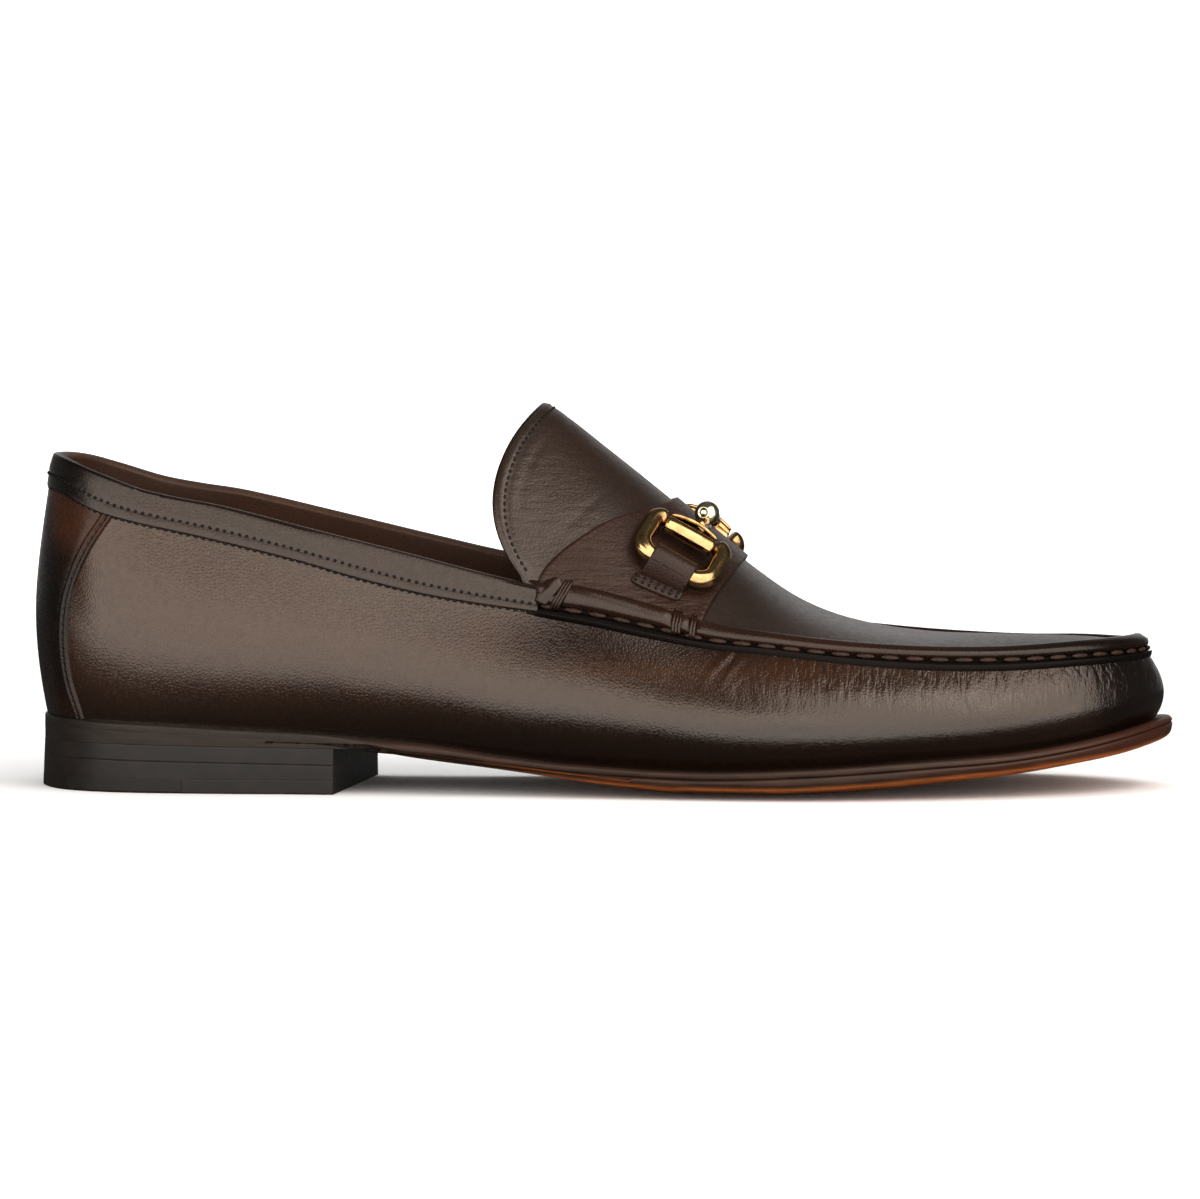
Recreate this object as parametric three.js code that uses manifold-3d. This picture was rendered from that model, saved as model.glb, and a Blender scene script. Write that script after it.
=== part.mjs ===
// Bit loafer, right shoe: a calf slip-on with a moccasin seam round its apron, a saddle
// strap with a brass bit, a leather sole and a stacked heel. Millimetres, Z up, toe to +X,
// outer (lateral) side to -Y. Last frame: x = 0 at the back of the sole, z = 0 on the floor.

import * as THREE from "three";
import { mergeVertices } from "three/addons/utils/BufferGeometryUtils.js";
import Module from "manifold-3d";

const wasm = await Module();
wasm.setup();

// Last and outline
const SOLE_LENGTH = 300;
const BALL_WIDTH = 104;
const SEAT_WIDTH = 67;
const SPINE_OFFSET = 3;
const INSTEP_HEIGHT = 101.6;
const COLLAR_HEIGHT = 87.6;
const SEAM_HEIGHT = 38;
const MEDIAL_HEIGHT = 3;
const COLLAR_HALF_WIDTH = 30;
const FEATHER_INSET = 4.5;
const APRON_INSET = 8.5;

// Sole, heel and insole
const SEAT_HEIGHT = 19.2;
const FOREPART_HEIGHT = 7.5;
const HEEL_HEIGHT = 13.1;
const HEEL_FRONT_HEIGHT = 12;
const TOE_SPRING = 13.2;
const TREAD_CROWN = 3;
const MIDSOLE_THICKNESS = 2;
const EDGE_ROUND = 1.2;
const WAIST_DROP = 1;
const INSOLE_THICKNESS = 2;
const TOP_PIECE_THICKNESS = 3.8;
const LOWER_LIFT_BACK = 5;
const LOWER_LIFT_FRONT = 3.8;
const RUBBER_LENGTH = 42.9;
const HEEL_LENGTH = 83.5;
const BREAST_DEPTH = 2.4;
const HEEL_FLARE = 0.6;

// Leather
const WALL = 2;
const OVERLAY_THICKNESS = 1.3;
const BACKSTAY_THICKNESS = 1;
const COLLAR_BAND = 9.5;
const SEAM_PROUD = 1.8;
const LIP_PROUD = 0.9;
const GAP = 0.3;

// Bit: two rings held by leather keepers, and a mouthpiece in two halves with a ball between
const RING_LENGTH = 20.8;
const RING_WIDTH = 14.8;
const RING_WIRE = 4.7;
const RING_CORNER = 4.4;
const RING_CENTRE = 169.9;
const RING_CROWN_SHARE = 0.37;
const MEDIAL_CROWN_SHARE = 0.4;
const BARREL_LENGTH = 14;
const BARREL_DIAMETER = 4.6;
const BARREL_INSET = 1.5;
const BIT_BAR = 2.6;
const BALL_DIAMETER = 6.6;
const BALL_CENTRE = 174.2;
const BALL_CROWN_SHARE = 0.8;
const KEEPER_WIDTH = 12;
const KEEPER_THICKNESS = 1.2;
const KEEPER_TAB = 6;

// Fineness of the faceted forms
const RIB_SPACING = 13;
const ROUND_ROWS = 4;
const ROUND_SPACING = 9;
const WALL_STEPS = 5;
const CROWN_STEPS = 7;

// Sole outline: half widths as shares of the size that each row follows
const OUTLINE = [
  { along: 0, of: SEAT_WIDTH, lateral: 0, medial: 0 },
  { along: 0.017, of: SEAT_WIDTH, lateral: 0.254, medial: 0.254 },
  { along: 0.04, of: SEAT_WIDTH, lateral: 0.373, medial: 0.373 },
  { along: 0.083, of: SEAT_WIDTH, lateral: 0.463, medial: 0.463 },
  { along: 0.15, of: SEAT_WIDTH, lateral: 0.5, medial: 0.498 },
  { along: 0.233, of: SEAT_WIDTH, lateral: 0.515, medial: 0.478 },
  { along: 0.333, of: BALL_WIDTH, lateral: 0.351, medial: 0.274 },
  { along: 0.433, of: BALL_WIDTH, lateral: 0.394, medial: 0.284 },
  { along: 0.533, of: BALL_WIDTH, lateral: 0.452, medial: 0.346 },
  { along: 0.617, of: BALL_WIDTH, lateral: 0.493, medial: 0.428 },
  { along: 0.667, of: BALL_WIDTH, lateral: 0.504, medial: 0.469 },
  { along: 0.733, of: BALL_WIDTH, lateral: 0.495, medial: 0.494 },
  { along: 0.817, of: BALL_WIDTH, lateral: 0.444, medial: 0.481 },
  { along: 0.883, of: BALL_WIDTH, lateral: 0.37, medial: 0.418 },
  { along: 0.933, of: BALL_WIDTH, lateral: 0.284, medial: 0.337 },
  { along: 0.97, of: BALL_WIDTH, lateral: 0.178, medial: 0.231 },
  { along: 0.993, of: BALL_WIDTH, lateral: 0.058, medial: 0.135 },
  { along: 1, of: BALL_WIDTH, lateral: -0.038, medial: 0.038 },
];

// Top of the sole along the feather line, and the drop of its rounded edge at the waist
const SOLE_TOP = [
  { along: 0, of: SEAT_HEIGHT, top: 1, drop: 0 },
  { along: 0.1, of: SEAT_HEIGHT, top: 0.948, drop: 0 },
  { along: 0.2, of: SEAT_HEIGHT, top: 0.87, drop: 0 },
  { along: 0.275, of: SEAT_HEIGHT, top: 0.805, drop: 0.15 },
  { along: 0.295, of: SEAT_HEIGHT, top: 0.774, drop: 0.95 },
  { along: 0.35, of: FOREPART_HEIGHT, top: 1.813, drop: 1 },
  { along: 0.42, of: FOREPART_HEIGHT, top: 1.44, drop: 0.6 },
  { along: 0.507, of: FOREPART_HEIGHT, top: 1.13, drop: 0.2 },
  { along: 0.596, of: FOREPART_HEIGHT, top: 1, drop: 0 },
  { along: 0.696, of: FOREPART_HEIGHT, top: 1.133, drop: 0 },
  { along: 0.795, of: FOREPART_HEIGHT, top: 1.4, drop: 0 },
  { along: 0.87, of: FOREPART_HEIGHT, top: 1.61, drop: 0 },
  { along: 0.94, of: TOE_SPRING, top: 1.16, drop: 0 },
  { along: 1, of: TOE_SPRING, top: 1.47, drop: 0 },
];

// Underside of the outsole along its middle, and how far its edges curl up from there
const TREAD = [
  { along: 0, of: HEEL_HEIGHT, height: 1, crown: 0 },
  { along: 0.3, of: HEEL_HEIGHT, height: 0.91, crown: 0 },
  { along: 0.325, of: HEEL_HEIGHT, height: 0.79, crown: 0.1 },
  { along: 0.413, of: HEEL_HEIGHT, height: 0.5, crown: 0.3 },
  { along: 0.507, of: HEEL_HEIGHT, height: 0.16, crown: 0.75 },
  { along: 0.573, of: HEEL_HEIGHT, height: 0, crown: 1 },
  { along: 0.667, of: TOE_SPRING, height: 0, crown: 1 },
  { along: 0.697, of: TOE_SPRING, height: 0.03, crown: 1 },
  { along: 0.797, of: TOE_SPRING, height: 0.212, crown: 0.95 },
  { along: 0.897, of: TOE_SPRING, height: 0.485, crown: 0.6 },
  { along: 0.967, of: TOE_SPRING, height: 0.79, crown: 0.25 },
  { along: 1, of: TOE_SPRING, height: 1, crown: 0.1 },
];

// Ridge of the last, from the cone over the instep to the toe
const RIDGE = [
  { along: 0, height: 1.102 },
  { along: 0.3, height: 1.102 },
  { along: 0.38, height: 1.088 },
  { along: 0.447, height: 1 },
  { along: 0.503, height: 0.875 },
  { along: 0.557, height: 0.747 },
  { along: 0.6, height: 0.642 },
  { along: 0.633, height: 0.563 },
  { along: 0.667, height: 0.493 },
  { along: 0.7, height: 0.447 },
  { along: 0.733, height: 0.419 },
  { along: 0.783, height: 0.399 },
  { along: 0.833, height: 0.397 },
  { along: 0.873, height: 0.399 },
];

// Sections of the last. inset: sole edge to feather line, as a share of FEATHER_INSET.
// shoulder: height where the wall turns into the crown, which is the apron seam in front.
// rise: gain of the inner side there, as a share of MEDIAL_HEIGHT. apron: how far in it lies.
const SECTIONS = [
  { along: 0, of: COLLAR_HEIGHT, inset: 0.27, shoulder: 0.962, rise: 0, apron: 0.15 },
  { along: 0.067, of: COLLAR_HEIGHT, inset: 0.3, shoulder: 0.925, rise: 0.1, apron: 0.42 },
  { along: 0.15, of: COLLAR_HEIGHT, inset: 0.4, shoulder: 0.862, rise: 0.4, apron: 0.5 },
  { along: 0.267, of: COLLAR_HEIGHT, inset: 0.55, shoulder: 0.756, rise: 0.6, apron: 0.22 },
  { along: 0.367, of: COLLAR_HEIGHT, inset: 0.65, shoulder: 0.664, rise: 0.8, apron: 0.25 },
  { along: 0.447, of: SEAM_HEIGHT, inset: 0.8, shoulder: 1.395, rise: 1, apron: 0.45 },
  { along: 0.5, of: SEAM_HEIGHT, inset: 0.9, shoulder: 1.335, rise: 0.7, apron: 0.6 },
  { along: 0.55, of: SEAM_HEIGHT, inset: 1, shoulder: 1.24, rise: 0.5, apron: 0.75 },
  { along: 0.6, of: SEAM_HEIGHT, inset: 1, shoulder: 1.137, rise: 0.3, apron: 0.9 },
  { along: 0.65, of: SEAM_HEIGHT, inset: 1, shoulder: 1.08, rise: 0.1, apron: 1 },
  { along: 0.72, of: SEAM_HEIGHT, inset: 1, shoulder: 1.02, rise: 0, apron: 1 },
  { along: 0.8, of: SEAM_HEIGHT, inset: 1, shoulder: 0.982, rise: -0.2, apron: 0.88 },
  { along: 0.87, of: SEAM_HEIGHT, inset: 0.98, shoulder: 0.979, rise: -0.35, apron: 0.72 },
  { along: 0.94, of: SEAM_HEIGHT, inset: 0.96, shoulder: 1.002, rise: -0.45, apron: 0.55 },
  { along: 1, of: SEAM_HEIGHT, inset: 0.96, shoulder: 1.013, rise: -0.5, apron: 0.48 },
];

// Degrees from upright: the wall leaning outwards at the feather line, the wall turned
// inwards at the shoulder, and the crown where it sets out from there
const SLOPES = [
  { along: 0, lean: 11, turn: 8, crown: 14 },
  { along: 0.067, lean: 14, turn: 12, crown: 18 },
  { along: 0.15, lean: 17, turn: 12, crown: 18 },
  { along: 0.267, lean: 22, turn: 9, crown: 14 },
  { along: 0.367, lean: 26, turn: 9, crown: 10 },
  { along: 0.447, lean: 29, turn: 12, crown: 9 },
  { along: 0.5, lean: 31, turn: 18, crown: 14 },
  { along: 0.55, lean: 33, turn: 26, crown: 28 },
  { along: 0.6, lean: 34, turn: 34, crown: 43 },
  { along: 0.65, lean: 35, turn: 40, crown: 58 },
  { along: 0.72, lean: 36, turn: 43, crown: 72 },
  { along: 0.8, lean: 36, turn: 42, crown: 79 },
  { along: 0.87, lean: 35, turn: 40, crown: 81 },
  { along: 0.94, lean: 34, turn: 37, crown: 82 },
  { along: 1, lean: 33, turn: 35, crown: 82 },
];

// Top edge of the collar on the outer side, with the depth of its band below it
const TOPLINE = [
  { along: -0.05, height: 1.006, band: 1 },
  { along: 0.022, height: 1.002, band: 1 },
  { along: 0.059, height: 0.96, band: 1.1 },
  { along: 0.097, height: 0.914, band: 0.98 },
  { along: 0.13, height: 0.888, band: 0.96 },
  { along: 0.163, height: 0.868, band: 1 },
  { along: 0.195, height: 0.843, band: 1 },
  { along: 0.24, height: 0.805, band: 0.99 },
  { along: 0.293, height: 0.761, band: 1.05 },
  { along: 0.347, height: 0.716, band: 1.03 },
  { along: 0.401, height: 0.67, band: 0.88 },
  { along: 0.447, height: 0.634, band: 0.73 },
];

// Back edge of the standing tongue seen from the side: height as a share of the way from the
// topline's end at the throat up to the instep
const TONGUE_EDGE = [
  { along: 0.437, height: 0.026 },
  { along: 0.428, height: 0.11 },
  { along: 0.4155, height: 0.279 },
  { along: 0.4105, height: 0.466 },
  { along: 0.4165, height: 0.693 },
  { along: 0.4325, height: 0.893 },
  { along: 0.451, height: 1.029 },
  { along: 0.47, height: 1.134 },
];

// Saddle strap seen from the side: its curved back edge and its straight front edge
const SADDLE_BACK = [
  { along: 0.45, height: 0.44 },
  { along: 0.4573, height: 0.592 },
  { along: 0.484, height: 0.66 },
  { along: 0.516, height: 0.71 },
  { along: 0.555, height: 0.739 },
  { along: 0.57, height: 0.85 },
];
const SADDLE_FRONT = [
  { along: 0.588, height: 0.38 },
  { along: 0.601, height: 0.487 },
  { along: 0.627, height: 0.61 },
  { along: 0.66, height: 0.76 },
];
const SADDLE_HEM = 4.2;

// Front edge of the backstay seen from the side
const BACKSTAY_EDGE = [
  { along: 0.055, height: 0.1 },
  { along: 0.045, height: 0.23 },
  { along: 0.0355, height: 0.34 },
  { along: 0.032, height: 0.48 },
  { along: 0.038, height: 0.62 },
  { along: 0.056, height: 0.765 },
  { along: 0.075, height: 0.87 },
];

// Cross section of the raised seam: distance from the shoulder, up the wall to the apron
const SEAM = [
  { from: -4.8, lip: 0, roll: 0 },
  { from: -4.3, lip: 1, roll: 0 },
  { from: -3.1, lip: 1, roll: 0 },
  { from: -2.7, lip: 0, roll: 0 },
  { from: -1.4, lip: 0, roll: 0.85 },
  { from: 0.8, lip: 0, roll: 1 },
  { from: 2.5, lip: 0, roll: 0 },
];
const SEAM_START = 0.43;
const SEAM_FULL = 0.455;

// Leather, brass and rubber finishes
const finish = (color, roughness, metalness = 0) =>
  new THREE.MeshStandardMaterial({ color, roughness, metalness });
const FINISH = {
  calf: finish("#3a241b", 0.35),
  trim: finish("#2b1a14", 0.35),
  lining: finish("#4a2e20", 0.6),
  edge: finish("#2a1c16", 0.4),
  sole: finish("#6b3f22", 0.5),
  heel: finish("#2c2622", 0.45),
  rubber: finish("#1f1c1b", 0.6),
  brass: finish("#b88a3e", 0.25, 1),
};

// Interpolation of one column of a table
function column(rows, name) {
  const x = rows.map((row) => row.along * SOLE_LENGTH);
  const y = rows.map((row) => row[name] * (row.of && SCALED.has(name) ? row.of : 1));
  const slope = x.map((_, i) => {
    const before = i > 0 ? (y[i] - y[i - 1]) / (x[i] - x[i - 1]) : null;
    const after = i < x.length - 1 ? (y[i + 1] - y[i]) / (x[i + 1] - x[i]) : null;
    if (before === null) return after;
    if (after === null) return before;
    const left = x[i] - x[i - 1];
    const right = x[i + 1] - x[i];
    return (before * right + after * left) / (left + right);
  });
  return (at) => {
    const place = Math.min(Math.max(at, x[0]), x[x.length - 1]);
    let i = 0;
    while (i < x.length - 2 && place > x[i + 1]) i += 1;
    const step = x[i + 1] - x[i];
    const u = (place - x[i]) / step;
    const v = 1 - u;
    return y[i] * v * v * (1 + 2 * u) + y[i + 1] * u * u * (3 - 2 * u)
      + slope[i] * step * u * v * v - slope[i + 1] * step * u * u * v;
  };
}
const SCALED = new Set(["top", "height", "shoulder", "lateral", "medial"]);

const soleTop = column(SOLE_TOP, "top");
const soleDrop = column(SOLE_TOP, "drop");
const treadHeight = column(TREAD, "height");
const treadCrown = column(TREAD, "crown");
const ridgeShare = column(RIDGE, "height");
const section = {};
for (const name of ["inset", "shoulder", "rise", "apron"]) section[name] = column(SECTIONS, name);
for (const name of ["lean", "turn", "crown"]) section[name] = column(SLOPES, name);
const topline = column(TOPLINE, "height");
const bandDepth = column(TOPLINE, "band");

const ridge = (x) => ridgeShare(x) * INSTEP_HEIGHT;
const radians = (degrees) => (degrees * Math.PI) / 180;

// Value that stays at the low end and then follows x, eased over a short stretch
const SPINE_EASE = SOLE_LENGTH / 30;
function holdAbove(x, low) {
  if (x <= low - SPINE_EASE) return low;
  if (x >= low + SPINE_EASE) return x;
  return low + (x - low + SPINE_EASE) ** 2 / (4 * SPINE_EASE);
}

// Spine under the ridge, from which the ribs of the last set out and fan round heel and toe
const SPINE_BACK = 0.12 * SOLE_LENGTH;
const SPINE_FRONT = 0.835 * SOLE_LENGTH;
const SPINE_TURN_START = 0.15 * SOLE_LENGTH;
const SPINE_TURN_END = 0.45 * SOLE_LENGTH;
function spinePoint(x) {
  const held = -holdAbove(-holdAbove(x, SPINE_BACK), -SPINE_FRONT);
  const side = SPINE_OFFSET * THREE.MathUtils.smoothstep(x, SPINE_TURN_START, SPINE_TURN_END);
  return new THREE.Vector2(held, side);
}

// Closed outline of the sole, down the outer side and back up the inner one
const LAST_ROW = OUTLINE.length - 1;
const outlinePoints = [
  ...OUTLINE.map((row) => new THREE.Vector3(row.along * SOLE_LENGTH, -row.lateral * row.of, 0)),
  ...OUTLINE.slice(1, LAST_ROW).reverse()
    .map((row) => new THREE.Vector3(row.along * SOLE_LENGTH, row.medial * row.of, 0)),
];
const outline = new THREE.CatmullRomCurve3(outlinePoints, true, "centripetal");

// Places of the ribs round the outline, counted in rows of its table, the same on both sides
function ribPlaces() {
  const lateral = [];
  for (let i = 0; i < LAST_ROW; i += 1) {
    const round = i < ROUND_ROWS || i >= LAST_ROW - ROUND_ROWS;
    const length = outlinePoints[i].distanceTo(outlinePoints[i + 1]);
    const count = Math.max(1, Math.round(length / (round ? ROUND_SPACING : RIB_SPACING)));
    for (let j = 0; j < count; j += 1) lateral.push(i + j / count);
  }
  const medial = lateral.slice(1).reverse().map((place) => 2 * LAST_ROW - place);
  return [...lateral, LAST_ROW, ...medial];
}
const PLACES = ribPlaces();
const edgeAt = (place) => outline.getPoint((place % outlinePoints.length) / outlinePoints.length);

// Spine point that the ribs of both sides share at a place
const spine = (place) => spinePoint((edgeAt(place).x + edgeAt(2 * LAST_ROW - place).x) / 2);

// One rib in plan: foot on the outline moved in, spine point and direction outwards
function plan(place, inset) {
  const edge = edgeAt(place);
  const along = outline.getTangent(place / outlinePoints.length);
  const foot = new THREE.Vector2(edge.x - along.y * inset, edge.y + along.x * inset);
  const root = spine(place);
  const reach = foot.distanceTo(root);
  const out = foot.clone().sub(root).divideScalar(reach);
  const medial = place > LAST_ROW ? 1 : 0;
  return { foot, root, reach, out, medial };
}

const ribPoint = (rib, r, z) => new THREE.Vector3(
  rib.root.x + rib.out.x * r, rib.root.y + rib.out.y * r, z);

// Point of a cubic Bezier in the plane of a rib
function bezier(a, b, c, d, t) {
  const u = 1 - t;
  const mix = (k) => a[k] * u * u * u + 3 * b[k] * u * u * t + 3 * c[k] * u * t * t + d[k] * t * t * t;
  return [mix(0), mix(1)];
}

const WALL_HANDLE = 0.42;
const CROWN_HANDLE = 0.38;
const RIDGE_HANDLE = 0.4;

// The last's rib at a place: wall from the feather line to the shoulder, then the crown
function lastRib(place) {
  const guess = plan(place, FEATHER_INSET);
  const inset = section.inset(guess.foot.x) * FEATHER_INSET;
  const rib = plan(place, inset);
  const x = rib.foot.x;
  const foot = [rib.reach, soleTop(x) + GAP];
  const rise = section.rise(x) * MEDIAL_HEIGHT * rib.medial * seamSide(rib);
  const shoulder = [rib.reach - section.apron(x) * APRON_INSET, section.shoulder(x) + rise];
  const top = [0, ridge(rib.root.x)];
  const lean = radians(section.lean(x));
  const turn = radians(section.turn(x));
  const rising = radians(section.crown(x));
  const wall = Math.hypot(shoulder[0] - foot[0], shoulder[1] - foot[1]);
  const crown = Math.hypot(top[0] - shoulder[0], top[1] - shoulder[1]);
  const low = [foot[0] + Math.sin(lean) * wall * WALL_HANDLE, foot[1] + Math.cos(lean) * wall * WALL_HANDLE];
  const high = [
    shoulder[0] + Math.sin(turn) * wall * WALL_HANDLE,
    shoulder[1] - Math.cos(turn) * wall * WALL_HANDLE,
  ];
  const start = [
    shoulder[0] - Math.sin(rising) * crown * CROWN_HANDLE,
    shoulder[1] + Math.cos(rising) * crown * CROWN_HANDLE,
  ];
  const end = [shoulder[0] * RIDGE_HANDLE, top[1]];
  return {
    ...rib, wall, crown, x,
    wallAt: (t) => ribPoint(rib, ...bezier(foot, low, high, shoulder, t)),
    crownAt: (t) => ribPoint(rib, ...bezier(shoulder, start, end, top, t)),
  };
}

// The rise of the inner side fades out round heel and toe, where the two sides meet
const SIDE_FADE = 0.04 * SOLE_LENGTH;
const seamSide = (rib) => THREE.MathUtils.smoothstep(Math.abs(rib.foot.y - rib.root.y), 0, SIDE_FADE);

// Rows up a rib: wall, raised seam and crown, each with how far it stands proud
function ribRows(rib, seam) {
  const rows = [];
  const full = seam ? THREE.MathUtils.smoothstep(rib.x / SOLE_LENGTH, SEAM_START, SEAM_FULL) : 0;
  const seamLow = seam ? 1 + SEAM[0].from / rib.wall : 1;
  const wallSteps = seam ? WALL_STEPS : WALL_STEPS - 1;
  for (let i = 0; i < wallSteps; i += 1) {
    rows.push({ point: rib.wallAt((i / wallSteps) * seamLow), proud: 0 });
  }
  const seamRows = seam ? SEAM : [{ from: 0, lip: 0, roll: 0 }];
  for (const row of seamRows) {
    const point = row.from < 0 ? rib.wallAt(1 + row.from / rib.wall) : rib.crownAt(row.from / rib.crown);
    rows.push({ point, proud: full * (row.lip * LIP_PROUD + row.roll * SEAM_PROUD) });
  }
  const seamHigh = seam ? SEAM[SEAM.length - 1].from / rib.crown : 0;
  for (let i = 1; i <= CROWN_STEPS; i += 1) {
    rows.push({ point: rib.crownAt(seamHigh + (1 - seamHigh) * (i / CROWN_STEPS)), proud: 0 });
  }
  return rows;
}

// Closed geometry from a ring of ribs, each a list of points from spine to spine
function ringGeometry(ribs) {
  const count = ribs[0].length;
  const positions = ribs.flatMap((rib) => rib.flatMap((p) => [p.x, p.y, p.z]));
  const index = [];
  for (let i = 0; i < ribs.length; i += 1) {
    const next = (i + 1) % ribs.length;
    for (let j = 0; j < count - 1; j += 1) {
      const a = i * count + j;
      const b = next * count + j;
      index.push(a, b, b + 1, a, b + 1, a + 1);
    }
  }
  const geometry = new THREE.BufferGeometry();
  geometry.setAttribute("position", new THREE.Float32BufferAttribute(positions, 3));
  geometry.setIndex(index);
  return geometry;
}

// Geometry to solid and back
const MERGE = 1e-4;
function toSolid(geometry) {
  const bare = geometry.clone();
  bare.deleteAttribute("normal");
  bare.deleteAttribute("uv");
  const merged = mergeVertices(bare, MERGE);
  const corners = merged.index.array;
  const triangles = [];
  for (let i = 0; i < corners.length; i += 3) {
    const [a, b, c] = [corners[i], corners[i + 1], corners[i + 2]];
    if (a !== b && b !== c && c !== a) triangles.push(a, b, c);
  }
  return new wasm.Manifold(new wasm.Mesh({
    numProp: 3,
    vertProperties: new Float32Array(merged.attributes.position.array),
    triVerts: new Uint32Array(triangles),
  }));
}

function toGeometry(solid) {
  const mesh = solid.getMesh();
  const geometry = new THREE.BufferGeometry();
  geometry.setAttribute("position", new THREE.BufferAttribute(new Float32Array(mesh.vertProperties), 3));
  geometry.setIndex(new THREE.BufferAttribute(new Uint32Array(mesh.triVerts), 1));
  return geometry;
}

// Grid of the last's surface, with outward normals for moving it in or out
const RIBS = PLACES.map((place) => lastRib(place));

function lastGrid(seam) {
  const rows = RIBS.map((rib) => ribRows(rib, seam));
  const count = rows[0].length;
  return rows.map((rib, i) => {
    const before = rows[(i + rows.length - 1) % rows.length];
    const after = rows[(i + 1) % rows.length];
    return rib.map((row, j) => {
      if (j === count - 1) return { ...row, normal: ridgeNormal(row.point.x) };
      const round = after[j].point.clone().sub(before[j].point);
      const up = rib[j + 1].point.clone().sub(rib[Math.max(j - 1, 0)].point);
      return { ...row, normal: round.cross(up).normalize() };
    });
  });
}

const SLOPE_STEP = 0.5;
function ridgeNormal(x) {
  const slope = (ridge(x + SLOPE_STEP) - ridge(x - SLOPE_STEP)) / (2 * SLOPE_STEP);
  return new THREE.Vector3(-slope, 0, 1).normalize();
}

const SEAM_GRID = lastGrid(true);
const PLAIN_GRID = lastGrid(false);

// Solid of the last moved out by an offset, with its underside lowered by a depth
function lastSolid(grid, offset, depth = 0) {
  const ribs = grid.map((rib, i) => {
    const points = rib.map((row) => row.point.clone().addScaledVector(row.normal, offset + row.proud));
    const foot = points[0].clone();
    foot.z = rib[0].point.z - depth;
    const root = new THREE.Vector3(RIBS[i].root.x, RIBS[i].root.y, soleTop(RIBS[i].root.x) + GAP - depth);
    const start = depth > 0 ? [root, foot] : [root];
    points[0].z = rib[0].point.z;
    return [...start, ...points];
  });
  return toSolid(ringGeometry(ribs));
}

// Prism across the shoe from an outline in side view, its inner side lifted by a rise
const CUT_REACH = 3 * COLLAR_HALF_WIDTH;
function sidePrism(lateral, medial) {
  const flat = lateral.map((p) => new THREE.Vector2(p[0], p[1]));
  const forwards = THREE.ShapeUtils.area(flat) > 0;
  const near = forwards ? lateral : [...lateral].reverse();
  const far = forwards ? medial : [...medial].reverse();
  const count = near.length;
  const positions = [
    ...near.flatMap((p) => [p[0], -CUT_REACH, p[1]]),
    ...far.flatMap((p) => [p[0], CUT_REACH, p[1]]),
  ];
  const index = [];
  for (const [a, b, c] of THREE.ShapeUtils.triangulateShape(near.map((p) => new THREE.Vector2(...p)), [])) {
    index.push(a, b, c, a + count, c + count, b + count);
  }
  for (let i = 0; i < count; i += 1) {
    const j = (i + 1) % count;
    index.push(i, i + count, j + count, i, j + count, j);
  }
  const geometry = new THREE.BufferGeometry();
  geometry.setAttribute("position", new THREE.Float32BufferAttribute(positions, 3));
  geometry.setIndex(index);
  return toSolid(geometry);
}

const both = (points) => sidePrism(points, points);

// Smooth side view line through the rows of a table, its heights counted up from a base
function sideLine(rows, of, steps, base = 0) {
  const points = rows.map((row) => new THREE.Vector2(row.along * SOLE_LENGTH, base + row.height * of));
  return new THREE.SplineCurve(points).getPoints(steps).map((p) => [p.x, p.y]);
}

// Height that a side view line gains at a distance across: none at the outer side of the
// collar, all of it at the inner side
function riseAt(x, reach) {
  return (section.rise(x) * MEDIAL_HEIGHT * (reach + COLLAR_HALF_WIDTH)) / (2 * COLLAR_HALF_WIDTH);
}
const drop = ([x, z]) => [x, z + riseAt(x, -CUT_REACH)];
const lift = ([x, z]) => [x, z + riseAt(x, CUT_REACH)];

// Opening of the shoe: above the topline and behind the tongue
const TOPLINE_STEPS = 12;
const ABOVE = 0.6 * INSTEP_HEIGHT;
function toplinePoints(lower = 0, end = TOPLINE[TOPLINE.length - 1].along) {
  const first = TOPLINE[0].along * SOLE_LENGTH;
  const last = end * SOLE_LENGTH;
  const points = [];
  for (let i = 0; i <= TOPLINE_STEPS; i += 1) {
    const x = first + ((last - first) * i) / TOPLINE_STEPS;
    points.push([x, topline(x) * COLLAR_HEIGHT - lower * bandDepth(x) * COLLAR_BAND]);
  }
  return points;
}

const THROAT = 0.44;
const BAND_END = 0.436;
const THROAT_STEPS = 10;
function openingPrism() {
  const edge = toplinePoints(0, THROAT);
  const throat = edge[edge.length - 1][1];
  const tongue = sideLine(TONGUE_EDGE, INSTEP_HEIGHT - throat, THROAT_STEPS, throat);
  const high = INSTEP_HEIGHT + ABOVE;
  const sky = [[tongue[tongue.length - 1][0], high], [edge[0][0], high]];
  const lateral = [...edge.map(drop), ...tongue, ...sky];
  const medial = [...edge.map(lift), ...tongue, ...sky];
  return sidePrism(lateral, medial);
}

// Upper: one hollow wall, open at the collar and along the foot
const outer = lastSolid(SEAM_GRID, 0);
const inner = lastSolid(PLAIN_GRID, -WALL, 3 * WALL);
const opening = openingPrism();
const upperSolid = outer.subtract(inner).subtract(opening);

// Overlay between two larger forms of the last
function overlay(thickness, keep) {
  const shell = lastSolid(SEAM_GRID, GAP + thickness).subtract(lastSolid(SEAM_GRID, GAP, WALL));
  return shell.intersect(keep);
}

function bandPrism() {
  const top = toplinePoints(0, BAND_END);
  const low = toplinePoints(1, BAND_END).reverse();
  return sidePrism([...top, ...low].map(drop), [...top, ...low].map(lift));
}
const collarBand = overlay(OVERLAY_THICKNESS, bandPrism());

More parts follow.
